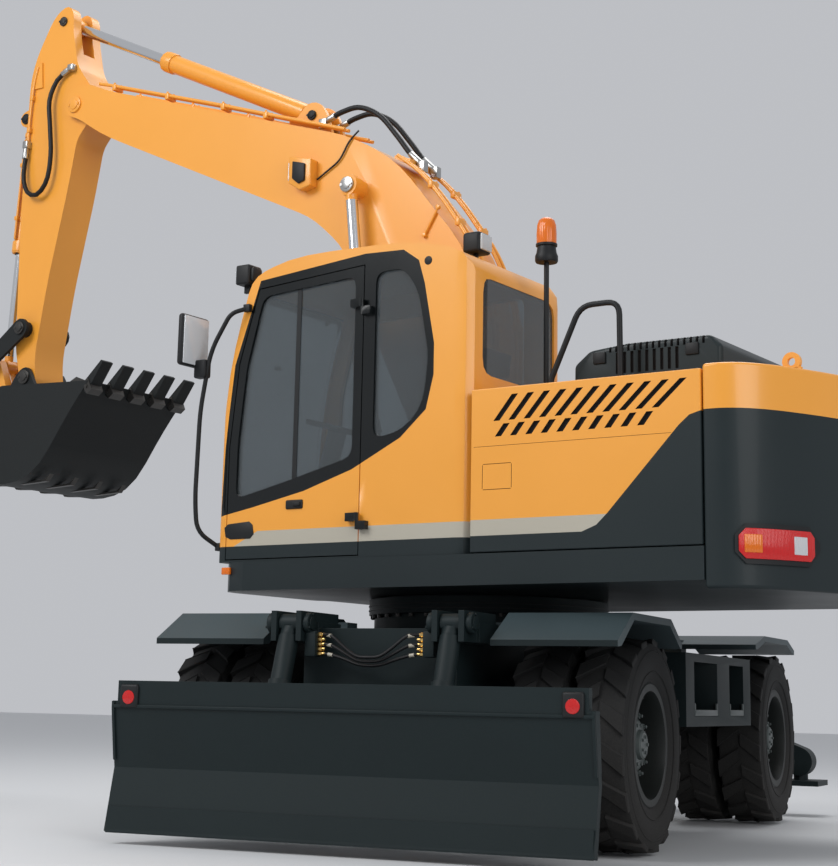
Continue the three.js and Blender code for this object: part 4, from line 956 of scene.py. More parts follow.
class EXC_OT_decks(bpy.types.Operator):
    """Turntable, tail, engine bay and tank with their livery"""

    bl_idname = "excavator.decks"
    bl_label = "Decks and tail"

    def execute(self, context):
        edge = sizes().paint_edge
        skin("turntable_frame", "green", round_edges=0.008)
        self.counterweight()
        skin(
            "engine_bay_frame", "green", round_edges=0.004, choose=lambda at, normal: int(at.z > 2.25),
            extra=("yellow",),
        )
        skin("engine_block", "casting", round_edges=0.01, name="engine_block_cover")
        skin(
            "tank_block", "yellow", round_edges=edge, cuts=[level(STRIPE[0]), level(STRIPE[1])],
            choose=self.tank_tone, extra=("green", "stripe"),
        )
        self.engine_parts()
        self.deck_trim()
        return {"FINISHED"}

    def tank_tone(self, at, normal):
        if at.z < STRIPE[0]:
            return 1
        return 2 if at.z < STRIPE[1] and normal.x > 0.5 else 0

    def counterweight(self):
        def tone(at, normal):
            return 0 if at.z > TAIL_BORDER else 1

        skin(
            "counterweight", "yellow", round_edges=0.018, segments=4, smooth=30, cuts=[level(TAIL_BORDER)],
            choose=tone, extra=("green",),
        )
        bm = bmesh.new()
        for side in (-1, 1):
            slab(bm, self.corner_band(side, 0.28, 1.30, -0.03, 0.012), "z", 1.362, 1.548)
        self.pointed(bm, 0.055)
        finish_piece("tail_light_boxes", bm, *UPPER_TRIM)
        lenses = (
            ("amber", 0.40, 0.62, 0.0225, 0.028), ("red", 0.33, 1.22, 0.020, 0.0),
            ("clear", 0.98, 1.13, 0.0225, 0.028),
        )
        for key, start, end, proud, inset in lenses:
            bm = bmesh.new()
            for side in (-1, 1):
                slab(bm, self.corner_band(side, start, end, -0.01, proud), "z", 1.385 + inset, 1.525 - inset)
            self.pointed(bm, 0.032)
            ease(bm, list(bm.edges), 0.003, 2)
            finish_piece("tail_light_" + key, bm, "upper", "amber_lamp", key, smooth=50)
        bm = bmesh.new()
        for side in (-1, 1):
            x = side * 0.87
            spun(
                bm, [(0.020, -0.012), (0.046, -0.012), (0.046, 0.012), (0.020, 0.012)], (x, -2.225, 2.345),
                (1, 0, 0), 32,
            )
            block(bm, (x - 0.012, -2.275, 2.29), (x + 0.012, -2.175, 2.318), 0.003)
        finish_piece("lifting_eyes", bm, "upper", slot_of("counterweight"), "yellow")
        bm = bmesh.new()
        for x in (-0.55, 0.0, 0.55):
            round_bar(bm, (x, -2.12, 2.300), (x, -2.12, 2.312), 0.032, 6)
            round_bar(bm, (x, -2.12, 2.298), (x, -2.12, 2.304), 0.045, 32)
        finish_piece("tail_bolts", bm, "upper", "black_frame", "worn")

    def pointed(self, bm, half):
        """Cuts the lamp's corners off, so that it ends in a blunt point each way."""
        for side in (-1, 1):
            for (x, y), out in (
                ((1.213, -2.08), Vector((0.25, 0.97, 0))), ((0.862, -2.302), Vector((-0.92, -0.40, 0))),
            ):
                for way in (-1, 1):
                    normal = Vector((side * out.x, out.y, way * 0.9)).normalized()
                    near = [f for f in bm.faces if f.calc_center_median().x * side > 0]
                    geom = near + list({e for f in near for e in f.edges}) + list({v for f in near for v in f.verts})
                    place = (side * x, y, 1.455 + way * half)
                    bmesh.ops.bisect_plane(
                        bm, geom=geom, dist=1e-5, plane_co=place, plane_no=normal, clear_outer=True,
                    )
                    open_edges = [e for e in bm.edges if e.is_boundary]
                    bmesh.ops.holes_fill(bm, edges=open_edges, sides=0)

    def corner_band(self, side, start, end, inner, outer, steps=12):
        """Plan of a strip that follows the tail's rounded corner, from one place on it to another."""

        def at(t):
            if t > 1:
                a, b, c, t = Vector((0.976, -2.25)), Vector((0.5, -2.49)), Vector((0.0, -2.5)), (t - 1) / 2
            else:
                a, b, c = Vector((1.236, -1.98)), Vector((1.226, -2.13)), Vector((0.976, -2.25))
            spot = a * (1 - t) ** 2 + b * 2 * t * (1 - t) + c * t * t
            along = ((b - a) * (1 - t) + (c - b) * t).normalized()
            return spot, Vector((-along.y, along.x))

        places = [at(start + (end - start) * i / steps) for i in range(steps + 1)]
        out = [spot + away * outer for spot, away in places]
        back = [spot + away * inner for spot, away in reversed(places)]
        return [(side * p.x, p.y) for p in out + back]

    def engine_parts(self):
        low, high = corners("engine_block")
        bm = bmesh.new()
        for i in range(6):
            x = low.x + 0.16 + 0.15 * i
            block(bm, (x - 0.055, low.y + 0.14, high.z - 0.005), (x + 0.055, high.y - 0.18, high.z + 0.05), 0.012)
        round_bar(
            bm, (low.x + 0.1, high.y - 0.09, high.z + 0.03), (high.x - 0.1, high.y - 0.09, high.z + 0.03), 0.04,
            24,
        )
        round_bar(bm, (-0.30, high.y, 1.75), (-0.30, high.y + 0.06, 1.75), 0.19, 40, bevel=0.01)
        round_bar(bm, (0.15, high.y, 1.92), (0.15, high.y + 0.06, 1.92), 0.07, 32, bevel=0.01)
        finish_piece("engine_covers", bm, "upper", "black_frame", "casting")
        bm = bmesh.new()
        block(bm, (-1.10, -1.76, 1.47), (-1.03, -0.90, 2.15), 0.01)
        for i in range(26):
            z = 1.50 + i * 0.0245
            block(bm, (-1.108, -1.73, z), (-1.10, -0.93, z + 0.006))
        finish_piece("cooler_pack", bm, "upper", "black_frame", "trim")
        bm = bmesh.new()
        round_bar(bm, (0.80, -1.62, 1.60), (0.80, -1.62, 2.05), 0.13, 32, bevel=0.015)
        round_bar(bm, (0.80, -1.62, 2.04), (0.80, -1.62, 2.12), 0.06, 24)
        block(bm, (0.68, -1.30, 1.46), (1.05, -0.85, 1.78), 0.02)
        finish_piece("filters_and_battery", bm, *UPPER_TRIM)

    def deck_trim(self):
        high = corners("tank_block")[1]
        bm = bmesh.new()
        round_bar(bm, (0.75, -0.25, high.z - 0.004), (0.75, -0.25, high.z), 0.075, 40)
        round_bar(bm, (1.02, 0.78, 1.69), (1.02, 0.78, 1.7), 0.05, 32)
        finish_piece("tank_caps", bm, *UPPER_TRIM)
        bm = bmesh.new()
        step = 0.66
        block(bm, (0.915, step, 1.70), (1.22, 0.94, 1.706), 0.002, 1)
        for i in range(6):
            for k in range(6):
                at = (0.945 + k * 0.05, step + 0.03 + i * 0.045)
                round_bar(bm, (*at, 1.706), (*at, 1.711), 0.012, 8, 0.009)
        finish_piece("tank_step_tread", bm, "upper", "black_frame", "worn")


class EXC_OT_hood_and_doors(bpy.types.Operator):
    """Engine lid and side doors with their vents and latches"""

    bl_idname = "excavator.hood_and_doors"
    bl_label = "Hood and side doors"

    def execute(self, context):
        self.hood()
        for side, hand in ((-1, "left"), (1, "right")):
            self.side_door(side, hand)
        return {"FINISHED"}

    def hood(self):
        high = corners("engine_hood")[1]

        def vents():
            bm = bmesh.new()
            for side in (-1, 1):
                reach = sorted((side * (high.x - 0.012), side * (high.x + 0.02)))
                for i in range(9):
                    y = -1.34 - i * 0.041
                    slab(bm, [(y, 2.345), (y - 0.018, 2.345), (y - 0.018, 2.455), (y, 2.455)], "x", *reach)
                ends = sorted((side * (high.x - 0.085), side * (high.x + 0.02)))
                for i in range(16):
                    y = -1.30 - i * 0.034
                    slab(
                        bm, [(ends[0], y), (ends[1], y - 0.012), (ends[1], y - 0.026), (ends[0], y - 0.014)],
                        "z", high.z - 0.042, high.z + 0.02,
                    )
            return cutter_of("hood_vent_cuts", bm)

        skin("engine_hood", "green", round_edges=0.022, segments=4, smooth=40, carve=vents, extra=("slot_dark",))
        bm = bmesh.new()
        for side in (-1, 1):
            for y in (-1.25, -1.76):
                block(bm, (side * high.x - 0.010, y - 0.035, 2.405), (side * high.x + 0.008, y + 0.035, 2.465), 0.006)
        finish_piece("hood_latches", bm, "engine_hood", "black_trim", "trim")
        bm = bmesh.new()
        for y in (-1.50, -1.62, -1.74):
            block(bm, (-0.62, y - 0.05, high.z - 0.02), (0.62, y + 0.05, high.z + 0.012), 0.008, 3)
        finish_piece("hood_ribs", bm, "engine_hood", slot_of("engine_hood"), "green")

    def side_door(self, side, hand):
        node = hand + "_side_door"
        outer = side * 1.236

        def vents():
            bm = bmesh.new()
            reach = sorted((outer - side * 0.014, outer + side * 0.02))
            for i in range(11):
                foot, lean = -0.775 - i * 0.0885, 0.108 + 0.004 * i
                slab(
                    bm,
                    [(foot, 2.112), (foot - 0.037, 2.112), (foot - lean - 0.037, 2.243), (foot - lean, 2.243)],
                    "x", *reach,
                )
            for i in range(10):
                foot = -0.785 - i * 0.0885
                lean, top = 0.05, 2.096
                slab(
                    bm, [(foot, 2.032), (foot - 0.037, 2.032), (foot - lean - 0.037, top), (foot - lean, top)],
                    "x", *reach,
                )
            shallow = sorted((outer - side * 0.003, outer + side * 0.02))
            for y in (-0.885, -0.715):
                slab(bm, [(y, 1.770), (y + 0.003, 1.770), (y + 0.003, 1.890), (y, 1.890)], "x", *shallow)
            for z in (1.764, 1.893):
                slab(bm, [(-0.880, z), (-0.717, z), (-0.717, z + 0.003), (-0.880, z + 0.003)], "x", *shallow)
            slab(bm, [(-1.76, 1.984), (-0.66, 1.984), (-0.66, 1.986), (-1.76, 1.986)], "x", *shallow)
            return cutter_of("door_vent_cuts", bm)

        cuts = [level(STRIPE[0]), level(STRIPE[1]), *outline_cuts(TAIL_EDGE)[:-1]]
        skin(
            node, "yellow", round_edges=0.005, cuts=cuts, choose=side_tone,
            extra=("green", "stripe", "slot_dark"), carve=vents,
        )
        bm = bmesh.new()
        for z in (1.63, 2.10):
            round_bar(bm, (outer - side * 0.02, -1.90, z - 0.05), (outer - side * 0.02, -1.90, z + 0.05), 0.014, 20)
        finish_piece(hand + "_door_hinge_pins", bm, *UPPER_TRIM)


class EXC_OT_cab(bpy.types.Operator):
    """Cab shell, door, glass, seals, lamps, mirror, seat and beacon"""

    bl_idname = "excavator.cab"
    bl_label = "Cab"

    def execute(self, context):
        self.shell()
        self.door()
        self.glass()
        self.interior()
        self.lamps()
        self.mirror()
        self.outside()
        return {"FINISHED"}

    def tone(self, at, normal):
        if at.x < -1.2175:
            return 3
        if at.x < -1.10 and at.z > STRIPE[1] and inside_outline(SURROUND, at.y, at.z):
            return 3
        if normal.x < -0.55:
            if at.z < STRIPE[0]:
                return 1
            return 2 if at.z < STRIPE[1] and at.y < 0.80 else 0
        if at.z < STRIPE[0]:
            return 1
        if normal.y > 0.2 and 1.52 < at.z < 3.0 and -1.17 < at.x < -0.34:
            return 3
        if normal.x > 0.5 and 1.76 < at.z < 3.02 and -0.46 < at.y < 0.92:
            return 3
        return 0

    def shell(self):
        cuts = [level(STRIPE[0]), level(STRIPE[1]), ((0, 0.80, 0), (0, 1, 0)), *outline_cuts(SURROUND)]
        cuts += [level(1.76), level(3.0), ((-1.17, 0, 0), (1, 0, 0)), ((-0.34, 0, 0), (1, 0, 0))]
        skin(
            "cab_shell", "yellow", round_edges=0.005, cuts=cuts, choose=self.tone,
            extra=("green", "stripe", "gloss_black"), smooth=30,
        )

    def door(self):
        cuts = [level(STRIPE[0]), level(STRIPE[1]), *outline_cuts(SURROUND)]
        skin(
            "cab_door", "yellow", round_edges=0.004, cuts=cuts, choose=self.tone,
            extra=("green", "stripe", "gloss_black"), smooth=30,
        )
        blocks(
            "cab_door_handle", "cab_door", "black_trim", "trim",
            ((-1.226, 0.44, 1.725), (-1.210, 0.555, 1.775), 0.008, 3),
            ((-1.236, 0.45, 1.738), (-1.222, 0.50, 1.762), 0.006, 3),
        )
        blocks(
            "door_glass_bar", "cab_door", "black_trim", "trim",
            ((-1.207, 0.50, 1.86), (-1.203, 0.53, 2.99), 0.001, 1),
        )
        bm = bmesh.new()
        slab(
            bm,
            [
                (0.96, 1.66), (0.985, 1.64), (0.975, 1.59), (0.94, 1.575), (0.80, 1.575), (0.775, 1.60),
                (0.785, 1.65), (0.81, 1.67),
            ],
            "x", -1.2195, -1.214,
        )
        ease(bm, list(bm.edges), 0.0015, 2)
        finish_piece("cab_corner_grip", bm, "cab_door", "black_trim", "trim")
        tube(
            "door_inside_rail",
            [(-1.175, 0.16, 1.86), (-1.150, 0.16, 1.86), (-1.150, 0.60, 1.80), (-1.175, 0.60, 1.80)], 0.011,
            "cab_door", "trim", corner=0.03,
        )

    def glass(self):
        for node in WINDOWS:
            body = body_of(node)
            skin(node, "glass", name=node + "_pane", round_edges=0.0, smooth=30)
            bm = bmesh.new()
            bm.from_mesh(frame["nodes"][node].data)
            bmesh.ops.remove_doubles(bm, verts=bm.verts, dist=2e-5)
            bmesh.ops.dissolve_limit(bm, angle_limit=math.radians(2), verts=bm.verts, edges=bm.edges)
            bmesh.ops.transform(bm, matrix=UPPER.inverted(), verts=bm.verts)
            broad = sorted(bm.faces, key=lambda f: -f.calc_area())
            thin = [
                f
                for f in bm.faces if f.calc_area() < 0.12 * broad[0].calc_area() and (
                    node != "windshield" or abs(f.normal.y) < 0.7
                )
            ]
            rest = [f for f in bm.faces if f not in set(thin)]
            bmesh.ops.delete(bm, geom=rest, context="FACES")
            bmesh.ops.solidify(bm, geom=list(bm.faces), thickness=-0.016)
            finish_piece(node + "_seal", bm, body, "black_trim", "trim", smooth=50)

    def interior(self):
        low, high = corners("operator_seat")
        mid = (low.x + high.x) / 2
        bm = bmesh.new()
        block(bm, (mid - 0.19, -0.30, 1.515), (mid + 0.19, 0.06, 1.60), 0.02)
        for i in range(5):
            z = 1.60 + i * 0.036
            block(
                bm, (mid - 0.15 + 0.004 * (i % 2), -0.27, z), (mid + 0.15 - 0.004 * (i % 2), 0.03, z + 0.034),
                0.012,
            )
        block(bm, (mid - 0.22, -0.34, 1.78), (mid + 0.22, 0.12, 1.815), 0.015)
        block(bm, (mid - 0.03, -0.425, 1.80), (mid + 0.03, -0.345, 2.05), 0.01)
        finish_piece("seat_suspension", bm, *UPPER_TRIM)
        cushion = self.cushion("seat_cushion", (mid - 0.235, -0.33, 1.815), (mid + 0.235, 0.155, 1.935), "z", 3)
        self.cushion("seat_back", (mid - 0.225, -0.475, 1.86), (mid + 0.225, -0.345, 2.45), "y", 3, lean=-0.09)
        self.cushion("seat_headrest", (mid - 0.13, -0.515, 2.45), (mid + 0.13, -0.425, 2.585), "y", 1, lean=-0.02)
        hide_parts("operator_seat")
        for side in (-1, 1):
            bm = bmesh.new()
            x = mid + side * 0.29
            block(bm, (x - 0.045, -0.30, 2.02), (x + 0.045, 0.04, 2.07), 0.018, 4)
            block(bm, (x - 0.035, -0.02, 1.84), (x + 0.035, 0.10, 2.05), 0.015, 3)
            round_bar(bm, (x, 0.06, 2.04), (x, 0.075, 2.14), 0.014, 20)
            round_bar(bm, (x, 0.075, 2.14), (x, 0.085, 2.21), 0.024, 24, 0.018, bevel=0.004)
            finish_piece("armrest_" + ("left" if side < 0 else "right"), bm, *UPPER_TRIM)
        skin("steering_console", "trim", round_edges=0.004, smooth=40)
        blocks(
            "cab_monitor", "upper", "black_trim", "gloss_black",
            ((-0.40, 0.46, 1.70), (-0.36, 0.66, 1.86), 0.01),
        )

    def cushion(self, name, low, high, thin, channels, lean=0.0):
        """A crowned cushion: sides drawn in between its corners, sewn channels across it."""
        bm = bmesh.new()
        low, high = Vector(low), Vector(high)
        block(bm, low, high)
        bmesh.ops.subdivide_edges(bm, edges=list(bm.edges), cuts=11, use_grid_fill=True)
        middle = (low + high) / 2
        half = (high - low) / 2
        axis = "xyz".index(thin)
        flat = [i for i in range(3) if i != axis]
        for v in bm.verts:
            off = v.co - middle
            u, w = (off[flat[0]] / half[flat[0]], off[flat[1]] / half[flat[1]])
            t = off[axis] / half[axis]
            crown = max(0.0, (1 - u ** 4) * (1 - w ** 4))
            groove = 0.0
            for c in range(1, channels + 1):
                spot = -1 + 2 * c / (channels + 1)
                groove += math.exp(-((w - spot) / 0.045) ** 2)
            v.co[axis] = middle[axis] + half[axis] * t * (0.66 + 0.34 * crown ** 0.5 - 0.14 * groove * crown)
            v.co[flat[0]] = middle[flat[0]] + off[flat[0]] * (0.97 - 0.03 * (1 - abs(w) ** 3)) * (1 - 0.04 * t * t)
            v.co[flat[1]] = middle[flat[1]] + off[flat[1]] * (0.97 - 0.03 * (1 - abs(u) ** 3)) * (1 - 0.04 * t * t)
            if lean:
                v.co.y += lean * (v.co.z - low.z) / (high.z - low.z)
        piece = finish_piece(name, bm, "upper", "seat_cloth", "cloth", smooth=80)
        soft = piece.modifiers.new("soft_edges", "SUBSURF")
        soft.levels = soft.render_levels = 1
        return piece

    def lamp(self, name, at, body, size=(0.06, 0.06), depth=0.05):
        """A square work lamp with its bracket; its lens looks along +Y."""
        x, y, z = at
        blocks(
            name + "_housing", body, "black_trim", "trim",
            ((x - size[0], y - depth, z - size[1]), (x + size[0], y, z + size[1]), 0.012, 3),
            (
                (x - size[0] * 0.7, y - depth - 0.02, z - size[1] * 0.7),
                (x + size[0] * 0.7, y - depth + 0.005, z + size[1] * 0.7), 0.01, 2,
            ),
            (
                (x - 0.012, y - depth * 0.7, z - size[1] - 0.045),
                (x + 0.012, y - depth * 0.3, z - size[1] + 0.005), 0.003,
            ),
        )
        blocks(
            name + "_lens", body, "window", "clear",
            (
                (x - size[0] * 0.84, y - 0.004, z - size[1] * 0.84),
                (x + size[0] * 0.84, y + 0.006, z + size[1] * 0.84), 0.008, 3,
            ),
        )

    def lamps(self):
        self.lamp("cab_front_lamp_left", (-1.10, 1.03, 3.11), "upper", (0.06, 0.058), 0.10)
        self.lamp("cab_front_lamp_right", (-0.50, 0.915, 3.015), "upper", (0.062, 0.05), 0.09)
        blocks(
            "roof_rear_lamp", "upper", "black_trim", "trim",
            ((-1.112, 0.80, 3.030), (-1.088, 1.0, 3.042), 0.003),
            ((-0.965, -0.51, 3.10), (-0.835, -0.40, 3.215), 0.018, 3),
            ((-0.912, -0.46, 3.05), (-0.888, -0.44, 3.105), 0.003),
        )
        blocks(
            "roof_rear_lamp_lens", "upper", "window", "clear",
            ((-0.953, -0.522, 3.112), (-0.847, -0.505, 3.203), 0.008),
        )
        low, high = corners("beacon")
        at = Vector(((low.x + high.x) / 2, (low.y + high.y) / 2, 0))
        bm = bmesh.new()
        round_bar(bm, at + Vector((0, 0, low.z)), at + Vector((0, 0, 3.06)), 0.014, 20)
        round_bar(bm, at + Vector((0, 0, low.z)), at + Vector((0, 0, low.z + 0.012)), 0.045, 28, bevel=0.003)
        base = [
            (0.002, 3.04), (0.058, 3.04), (0.062, 3.048), (0.062, 3.075), (0.055, 3.092), (0.050, 3.125),
            (0.058, 3.130), (0.058, 3.142), (0.002, 3.142),
        ]
        spun(bm, base, at, (0, 0, 1), 48)
        stem = finish_piece("beacon_stem", bm, *UPPER_TRIM)
        bm = bmesh.new()
        dome = [
            (0.002, 3.142), (0.054, 3.142), (0.0545, 3.20), (0.052, 3.245), (0.044, 3.272), (0.028, 3.286),
            (0.002, 3.290),
        ]
        spun(bm, dome, at, (0, 0, 1), 48)
        finish_piece("beacon_dome", bm, "upper", "amber_lamp", "amber", smooth=50)
        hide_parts("beacon")

    def mirror(self):
        x = -1.311
        rail = [
            (-1.228, 0.868, 2.882), (x + 0.02, 0.94, 2.85), (x, 1.06, 2.64), (x, 1.12, 2.30), (x, 1.13, 1.80),
            (x + 0.02, 1.125, 1.62), (-1.168, 1.064, 1.54),
        ]
        piece = tube("mirror_rail", rail, 0.013, "upper", "trim", corner=0.09)
        blocks(
            "mirror_head", "upper", "black_trim", "trim",
            ((-1.246, 0.846, 2.86), (-1.2165, 0.89, 2.904), 0.004),
            ((-1.19, 1.0405, 1.518), (-1.146, 1.075, 1.562), 0.004),
            ((x - 0.03, 1.075, 2.485), (x + 0.03, 1.16, 2.59), 0.012, 3),
            ((x - 0.145, 1.15, 2.548), (x + 0.088, 1.193, 2.847), 0.02, 4),
        )
        # The mirror pane's pale grey finish is a painted reflection, not a metal mirror.
        blocks(
            "mirror_pane_painted_reflection", "upper", "window", "mirror",
            ((x - 0.132, 1.146, 2.560), (x + 0.075, 1.152, 2.835), 0.002, 2),
        )
        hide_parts("left_mirror")

    def outside(self):
        x = -1.08
        rail = [(x, -1.022, 2.287), (x, -1.022, 2.33), (x, -1.19, 2.695), (x, -1.41, 2.695), (x, -1.415, 2.287)]
        piece = tube("deck_handrail_tube", rail, 0.015, "upper", "trim", corner=0.07)
        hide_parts("deck_handrail")
        bm = bmesh.new()
        for y in (-1.022, -1.415):
            block(bm, (x - 0.034, y - 0.03, 2.286), (x + 0.034, y + 0.03, 2.294), 0.002)
        finish_piece("handrail_feet", bm, "upper", "black_frame", "trim")
        blocks(
            "cab_visor", "upper", "black_trim", "trim",
            ((-1.10, 0.80, 2.955), (-0.40, 0.925, 2.968), 0.004),
        )
        bm = bmesh.new()
        round_bar(bm, (-0.76, 1.035, 2.62), (-0.76, 1.035, 2.64), 0.02, 24)
        round_bar(bm, (-1.2185, -0.35, 3.01), (-1.212, -0.35, 3.01), 0.024, 28, bevel=0.002)
        finish_piece("cab_fasteners", bm, *UPPER_TRIM)
        blocks(
            "marker_lamp_left", "upper", "amber_lamp", "amber",
            ((-1.232, 0.925, 1.38), (-1.215, 0.985, 1.42), 0.005),
        )


# ---------------------------------------------------------------- boom, arm and bucket
class EXC_OT_boom_and_arm(bpy.types.Operator):
    """Boom, arm, bucket, linkage and cylinders with pins, pipes, clamps and hoses"""

    bl_idname = "excavator.boom_and_arm"
    bl_label = "Boom, arm and bucket"

    def execute(self, context):
        skin("boom", "yellow", round_edges=0.008, segments=3, smooth=25)
        skin("arm", "yellow", round_edges=0.008, segments=3, smooth=25)
        self.links()
        self.cylinders()
        self.bucket()
        self.pins()
        self.boom_pipes()
        self.arm_lines()
        self.lamp_box()
        return {"FINISHED"}

    def links(self):
        skin("rocker_links", "casting", round_edges=0.005, smooth=35)
        skin("bucket_link", "yellow", round_edges=0.006, smooth=35)

    def cylinders(self):
        for node in ("boom_cylinder_barrels", "arm_cylinder_barrel", "bucket_cylinder_barrel"):
            skin(node, "yellow", round_edges=0.004, smooth=45)
        for node in ("outrigger_left_barrel", "outrigger_right_barrel"):
            skin(node, "chassis", round_edges=0.003, smooth=45, place=LOWER)
        for node in ("outrigger_left_rod", "outrigger_right_rod"):
            skin(node, "chrome", round_edges=0.002, smooth=45, place=LOWER)
        for node in ("outrigger_left_leg", "outrigger_right_leg"):
            skin(node, "chassis", round_edges=0.006, place=LOWER)
        for node, eye, reach in (
            ("boom_left_rod", LIFT_EYE, 0.10),
            ("boom_right_rod", LIFT_EYE, 0.10),
            ("arm_cylinder_rod", ARM_EYE, 0.105),
            ("bucket_cylinder_rod", ROD_PIN, 0.085),
        ):
            def tone(at, normal, eye=eye, reach=reach):
                return 1 if math.hypot(at.y - eye[0], at.z - eye[1]) < reach else 0

            low, high = corners(node)
            away = Vector((0, (low.y + high.y) / 2 - eye[0], (low.z + high.z) / 2 - eye[1])).normalized()
            at = Vector((0, eye[0], eye[1])) + away * reach
            skin(node, "chrome", round_edges=0.003, smooth=45, cuts=[(at, away)], choose=tone, extra=("yellow",))
        for name, body, foot, head, radius, start, length in (
            ("boom_left", "boom_barrels", LIFT_FOOT, LIFT_EYE, 0.060, 0.13, 1.45),
            ("boom_right", "boom_barrels", LIFT_FOOT, LIFT_EYE, 0.060, 0.13, 1.45),
            ("arm", "arm_barrel", ARM_FOOT, ARM_EYE, 0.066, 0.13, 1.56),
            ("bucket", "bucket_barrel", BUCKET_FOOT, ROD_PIN, 0.054, 0.11, 1.03),
        ):
            x = {"boom_left": BOOM_X - LIFT_OUT, "boom_right": BOOM_X + LIFT_OUT}.get(name, BOOM_X)
            a, b = Vector((x, *foot)), Vector((x, *head))
            way = (b - a).normalized()
            bm = bmesh.new()
            rim = radius + (0.0095 if name == "arm" else 0.012)
            collar = [
                (radius - 0.004, -0.05), (rim - 0.003, -0.05), (rim, -0.04), (rim, 0.028), (rim - 0.005, 0.036),
                (radius - 0.004, 0.036),
            ]
            spun(bm, collar, a + way * (length - 0.04), way, 48)
            if name != "arm":
                band = [
                    (radius - 0.004, -0.012), (radius + 0.005, -0.012), (radius + 0.005, 0.02),
                    (radius - 0.004, 0.02),
                ]
                spun(bm, band, a + way * start, way, 48)
            for turn in range(8):
                spoke = Matrix.Rotation(
                    turn * math.pi / 4 + 0.2, 3, way,
                ) @ way.orthogonal().normalized() * (radius - 0.004)
                round_bar(bm, a + way * (length - 0.004) + spoke, a + way * (length + 0.006) + spoke, 0.008, 6)
            finish_piece(name + "_cylinder_collars", bm, body, "yellow", "yellow", smooth=30)
            bm = bmesh.new()
            spun(
                bm,
                [(radius * 0.62, -0.004), (radius * 0.80, -0.004), (radius * 0.78, 0.008), (radius * 0.62, 0.008)],
                a + way * (length + 0.002), way, 40,
            )
            finish_piece(name + "_cylinder_wiper", bm, body, "black_trim", "trim")
            if name == "arm":
                continue
            side = Vector((-1, 0, 0))
            up = way.cross(side).normalized()
            if up.z < 0:
                up = -up
            lift, gap, ends = (up, 0.022, (0.17, 0.16, 0.10, 0.09)) if name != "bucket" else (
                side, 0.016, (0.16, 0.14, 0.10, 0.10),
            )
            off = lift * (radius + gap)
            foot_at, top_at, bend_at, head_at = ends
            points = [
                a + way * foot_at + lift * radius * 0.7,
                a + way * foot_at + off,
                a + way * (length - top_at) + off,
                a + way * (length - bend_at) + off,
                a + way * (length - head_at) + lift * radius * 0.9,
            ]
            tube(name + "_cylinder_pipe", points, 0.010, body, "yellow", corner=0.04)
            bm = bmesh.new()
            for part in (0.35, 0.75):
                at = a + way * (length * part)
                spun(
                    bm,
                    [
                        (radius - 0.003, -0.014), (radius + 0.004, -0.014), (radius + 0.004, 0.014),
                        (radius - 0.003, 0.014),
                    ],
                    at, way, 40,
                )
                block(bm, at + off - Vector((0.016, 0.016, 0.016)), at + off + Vector((0.016, 0.016, 0.016)), 0.004)
            finish_piece(name + "_cylinder_clamps", bm, body, "yellow", "yellow")

    def bucket(self):
        skin("bucket", "casting", round_edges=0.005, smooth=30)
        bm = bmesh.new()
        pitch = (2 * 0.48 - 0.12) / 4
        for i in range(-2, 3):
            x = BOOM_X + i * pitch
            slab(bm, [(3.055, 2.780), (2.995, 2.705), (2.955, 2.735), (2.990, 2.812)], "x", x - 0.058, x + 0.058)
            round_bar(bm, (x - 0.064, 3.005, 2.757), (x + 0.064, 3.005, 2.757), 0.013, 12)
        finish_piece("bucket_tooth_adapters", bm, "bucket", "black_frame", "worn")
        bm = bmesh.new()
        for side in (-1, 1):
            x = BOOM_X + side * 0.476
            slab(
                bm, [(3.02, 2.80), (3.06, 2.735), (3.42, 2.60), (3.46, 2.66), (3.10, 2.83)], "x", x - 0.003,
                x + 0.003,
            )
        for x in (-0.36, -0.12, 0.12, 0.36):
            slab(
                bm,
                [
                    (3.40, 2.196), (3.46, 2.158), (3.78, 2.138), (3.98, 2.165), (4.06, 2.205), (3.98, 2.14),
                    (3.78, 2.130), (3.44, 2.145),
                ],
                "x", BOOM_X + x - 0.02, BOOM_X + x + 0.02,
            )
        finish_piece("bucket_wear_strips", bm, "bucket", "black_frame", "worn")

    def pin_cap(self, name, at, reach, radius, body, finish):
        """Round pin ends with a keeper plate and two bolts on both sides of a pivot."""
        bm = bmesh.new()
        for way in (-1, 1):
            start = Vector((BOOM_X + way * reach, *at))
            out = Vector((way, 0, 0))
            round_bar(bm, start - out * 0.01, start + out * 0.012, radius, 36, bevel=0.004)
            round_bar(bm, start + out * 0.010, start + out * 0.018, radius * 0.62, 30, bevel=0.002)
            for k in (-1, 1):
                spot = start + Vector((0, k * radius * 0.72, 0.0))
                round_bar(bm, spot, spot + out * 0.02, 0.010, 6)
        finish_piece(name, bm, body, "black_frame", finish)

    def pins(self):
        for name, at, reach, radius, body, finish in (
            ("boom_foot", BOOM_FOOT, 0.228, 0.060, "upper", "worn"),
            ("arm", ARM_PIN, 0.192, 0.062, "boom", "yellow"),
            ("lift_eye", LIFT_EYE, 0.334, 0.050, "boom", "steel"),
            ("arm_foot", ARM_FOOT, 0.084, 0.034, "boom", "trim"),
            ("arm_head", ARM_EYE, 0.142, 0.036, "arm", "worn"),
            ("bucket_foot", BUCKET_FOOT, 0.084, 0.040, "arm", "trim"),
            ("rocker", ROCKER_PIN, 0.218, 0.046, "rocker", "worn"),
            ("bucket", BUCKET_PIN, 0.182, 0.052, "bucket", "worn"),
            ("rod", ROD_PIN, 0.218, 0.042, "rocker", "worn"),
        ):
            self.pin_cap(name + "_pin_caps", at, reach, radius, body, finish)

